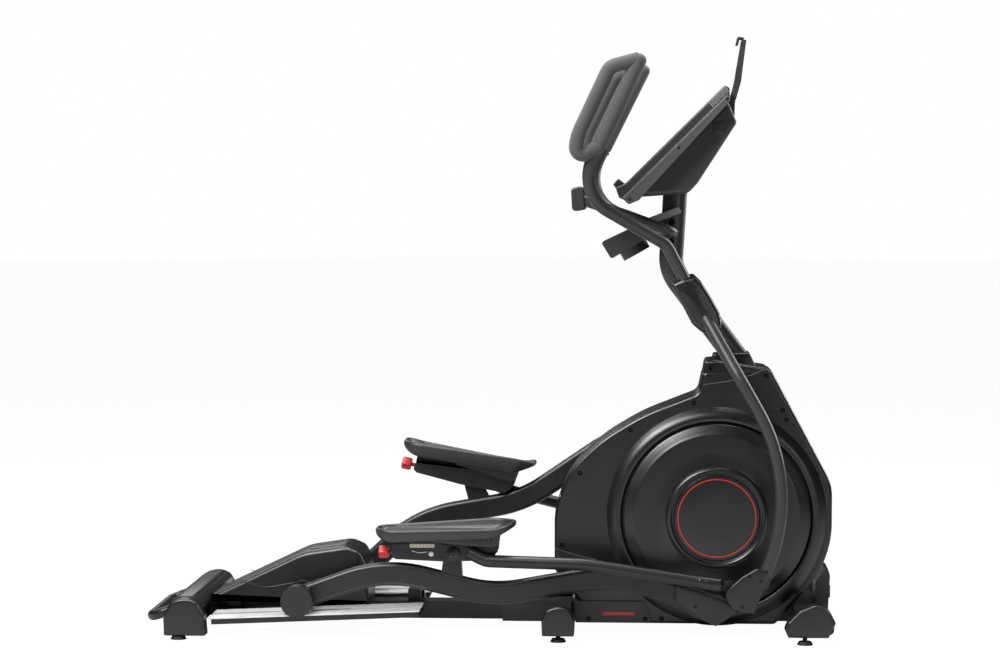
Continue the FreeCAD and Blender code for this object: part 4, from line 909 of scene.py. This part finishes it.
lid = rounded([(-556, 236, 2), (-556, 243.4, 1), (-446, 259.6, 30), (-420, 252, 10), (-424, 236, 2)], 6)
hood.append(slab(lid, 66, 1.2))
made = joined("incline_hood", hood, "ramp", "cover_black", 32)
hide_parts("incline_cover")
print("caps", len(caps), "hood floor", round(float(hood_floor), 1))

# %% [markdown]
# The tilt knob at the heel of each pedal is a lobed wheel. Its radius is a wave round the axis,
# r (1 + 0.08 cos 6t), which swells along the axis and closes at both ends.

# %% Lobed knobs
def lobed(x_line, radius_line, middle, lobes, wave):
    """Rings square to X, with the radius r (1 + wave cos(lobes t)) about a middle (y, z)."""
    angle = np.linspace(0, 2 * np.pi, 96, endpoint=False)
    radius = np.asarray(radius_line, float)[:, None] * (1 + np.asarray(wave)[:, None] * np.cos(lobes * angle))
    x = np.asarray(x_line, float)[:, None] + 0 * angle
    return np.stack([x, middle[0] + radius * np.cos(angle), middle[1] + radius * np.sin(angle)], -1) / 1000


knob_x = [-229.8, -230, -229.6, -228, -225, -204, -201, -199.6, -199.2, -199, -181, -181]
knob_r = [0.1, 13, 16, 18, 19, 19, 18, 16, 8, 6, 6, 0.1]
knob_wave = [0, 0.03, 0.06, 0.08, 0.09, 0.09, 0.08, 0.05, 0, 0, 0, 0]
for side in sides:
    knob = on_pedal(lobed(knob_x, knob_r, (200.0, 1.0), 6, knob_wave), side)
    made = joined(f"tilt_knob_{side}", [knob], f"ankle_knob_{side}", "knob_red", 34)
    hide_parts(f"ankle_knob_{side}")
print("knobs 2")

# %% [markdown]
# Camera, floor and light. The camera stands eight metres off and a little above the middle of the
# machine. The studio is a pale floor under a big soft light, with a fill and a rim light.

# %% Camera
camera_data = bpy.data.cameras.new("camera")
camera_data.sensor_width, camera_data.lens = 36.0, 93.24
camera = bpy.data.objects.new("camera", camera_data)
bpy.context.scene.collection.objects.link(camera)
bpy.context.scene.camera = camera
tilt, roll, heading = 87.22615, 0.005056, 3.200586      # degrees: up from straight down, roll, to the left
camera.location = (0.4765, -8.0, 1.2979)
camera.rotation_euler = [math.radians(angle) for angle in (tilt, roll, heading)]
print("camera", camera_data.lens, "mm, heading", heading)

# %% Floor and light
def stage_floor():
    """A wide disc of plain pale floor that shows a little brighter than the light on it makes it."""
    finish = Finish("studio_floor", Specular_IOR_Level=0.2)
    finish.set("Base Color", finish.blend(finish.noise(0.6, 2.0), (0.52, 0.52, 0.52), (0.56, 0.56, 0.56)))
    finish.set("Roughness", 0.75 + finish.noise(3.0) * 0.1)
    glow = finish.node("ShaderNodeEmission", None, {"Color": (1, 1, 1), "Strength": 1.08})
    direct = finish.node("ShaderNodeLightPath") * 0.9
    lit = Value(finish, finish.shader.outputs[0])
    both = finish.node("ShaderNodeMixShader", None, {0: direct, 1: lit, 2: glow})
    finish.tree.links.new(both.socket, finish.tree.nodes["Material Output"].inputs["Surface"])
    count = 96
    angle = -np.linspace(0, 2 * np.pi, count, endpoint=False)
    radius = np.array([0.01, 4.0, 60.0])[:, None]
    grid = np.stack([radius * np.cos(angle), radius * np.sin(angle), np.zeros((3, count))], -1)
    mesh = bpy.data.meshes.new("studio_floor")
    faces = faces_of(grid, caps=False) + [list(range(count))[::-1]]
    mesh.from_pydata(grid.reshape(-1, 3).tolist(), [], faces)
    mesh.materials.append(finish.material)
    floor = bpy.data.objects.new("studio_floor", mesh)
    bpy.context.scene.collection.objects.link(floor)


def soft_light(name, place, target, size, power):
    """A rectangular area light at a place, aimed at a target."""
    data = bpy.data.lights.new(name, "AREA")
    data.shape, data.size, data.size_y = "RECTANGLE", size[0], size[1]
    data.energy = power
    lamp = bpy.data.objects.new(name, data)
    aim = Vector(target) - Vector(place)
    lamp.matrix_world = Matrix.Translation(place) @ aim.to_track_quat("-Z", "Y").to_matrix().to_4x4()
    bpy.context.scene.collection.objects.link(lamp)


stage_floor()
soft_light("key_light", (-2.2, -3.0, 4.4), (0.2, 0.0, 0.6), (2.8, 2.0), 420)
soft_light("top_light", (0.2, 0.4, 5.0), (0.2, 0.0, 0.6), (3.0, 1.8), 240)
soft_light("front_fill", (3.0, -4.6, 1.6), (0.4, 0.0, 0.5), (1.4, 1.4), 22)
soft_light("rim_light", (4.2, 2.2, 2.4), (0.4, 0.0, 0.8), (1.2, 3.0), 150)
soft_light("back_light", (-2.4, 4.2, 3.0), (0.0, 0.0, 0.6), (3.0, 2.0), 60)
studio = bpy.data.worlds.new("studio")
bpy.context.scene.world = studio
studio.use_nodes = True
tree = studio.node_tree
backdrop = tree.nodes["Background"]
backdrop.inputs["Color"].default_value = (1, 1, 1, 1)
backdrop.inputs["Strength"].default_value = 0.06
seen = tree.nodes.new("ShaderNodeBackground")
seen.inputs["Color"].default_value = (1, 1, 1, 1)
seen.inputs["Strength"].default_value = 1.0
path = tree.nodes.new("ShaderNodeLightPath")
choice = tree.nodes.new("ShaderNodeMixShader")
tree.links.new(path.outputs["Is Camera Ray"], choice.inputs[0])
tree.links.new(backdrop.outputs[0], choice.inputs[1])
tree.links.new(seen.outputs[0], choice.inputs[2])
tree.links.new(choice.outputs[0], tree.nodes["World Output"].inputs["Surface"])
bpy.context.scene.view_settings.view_transform = "Standard"
print("lights 5")
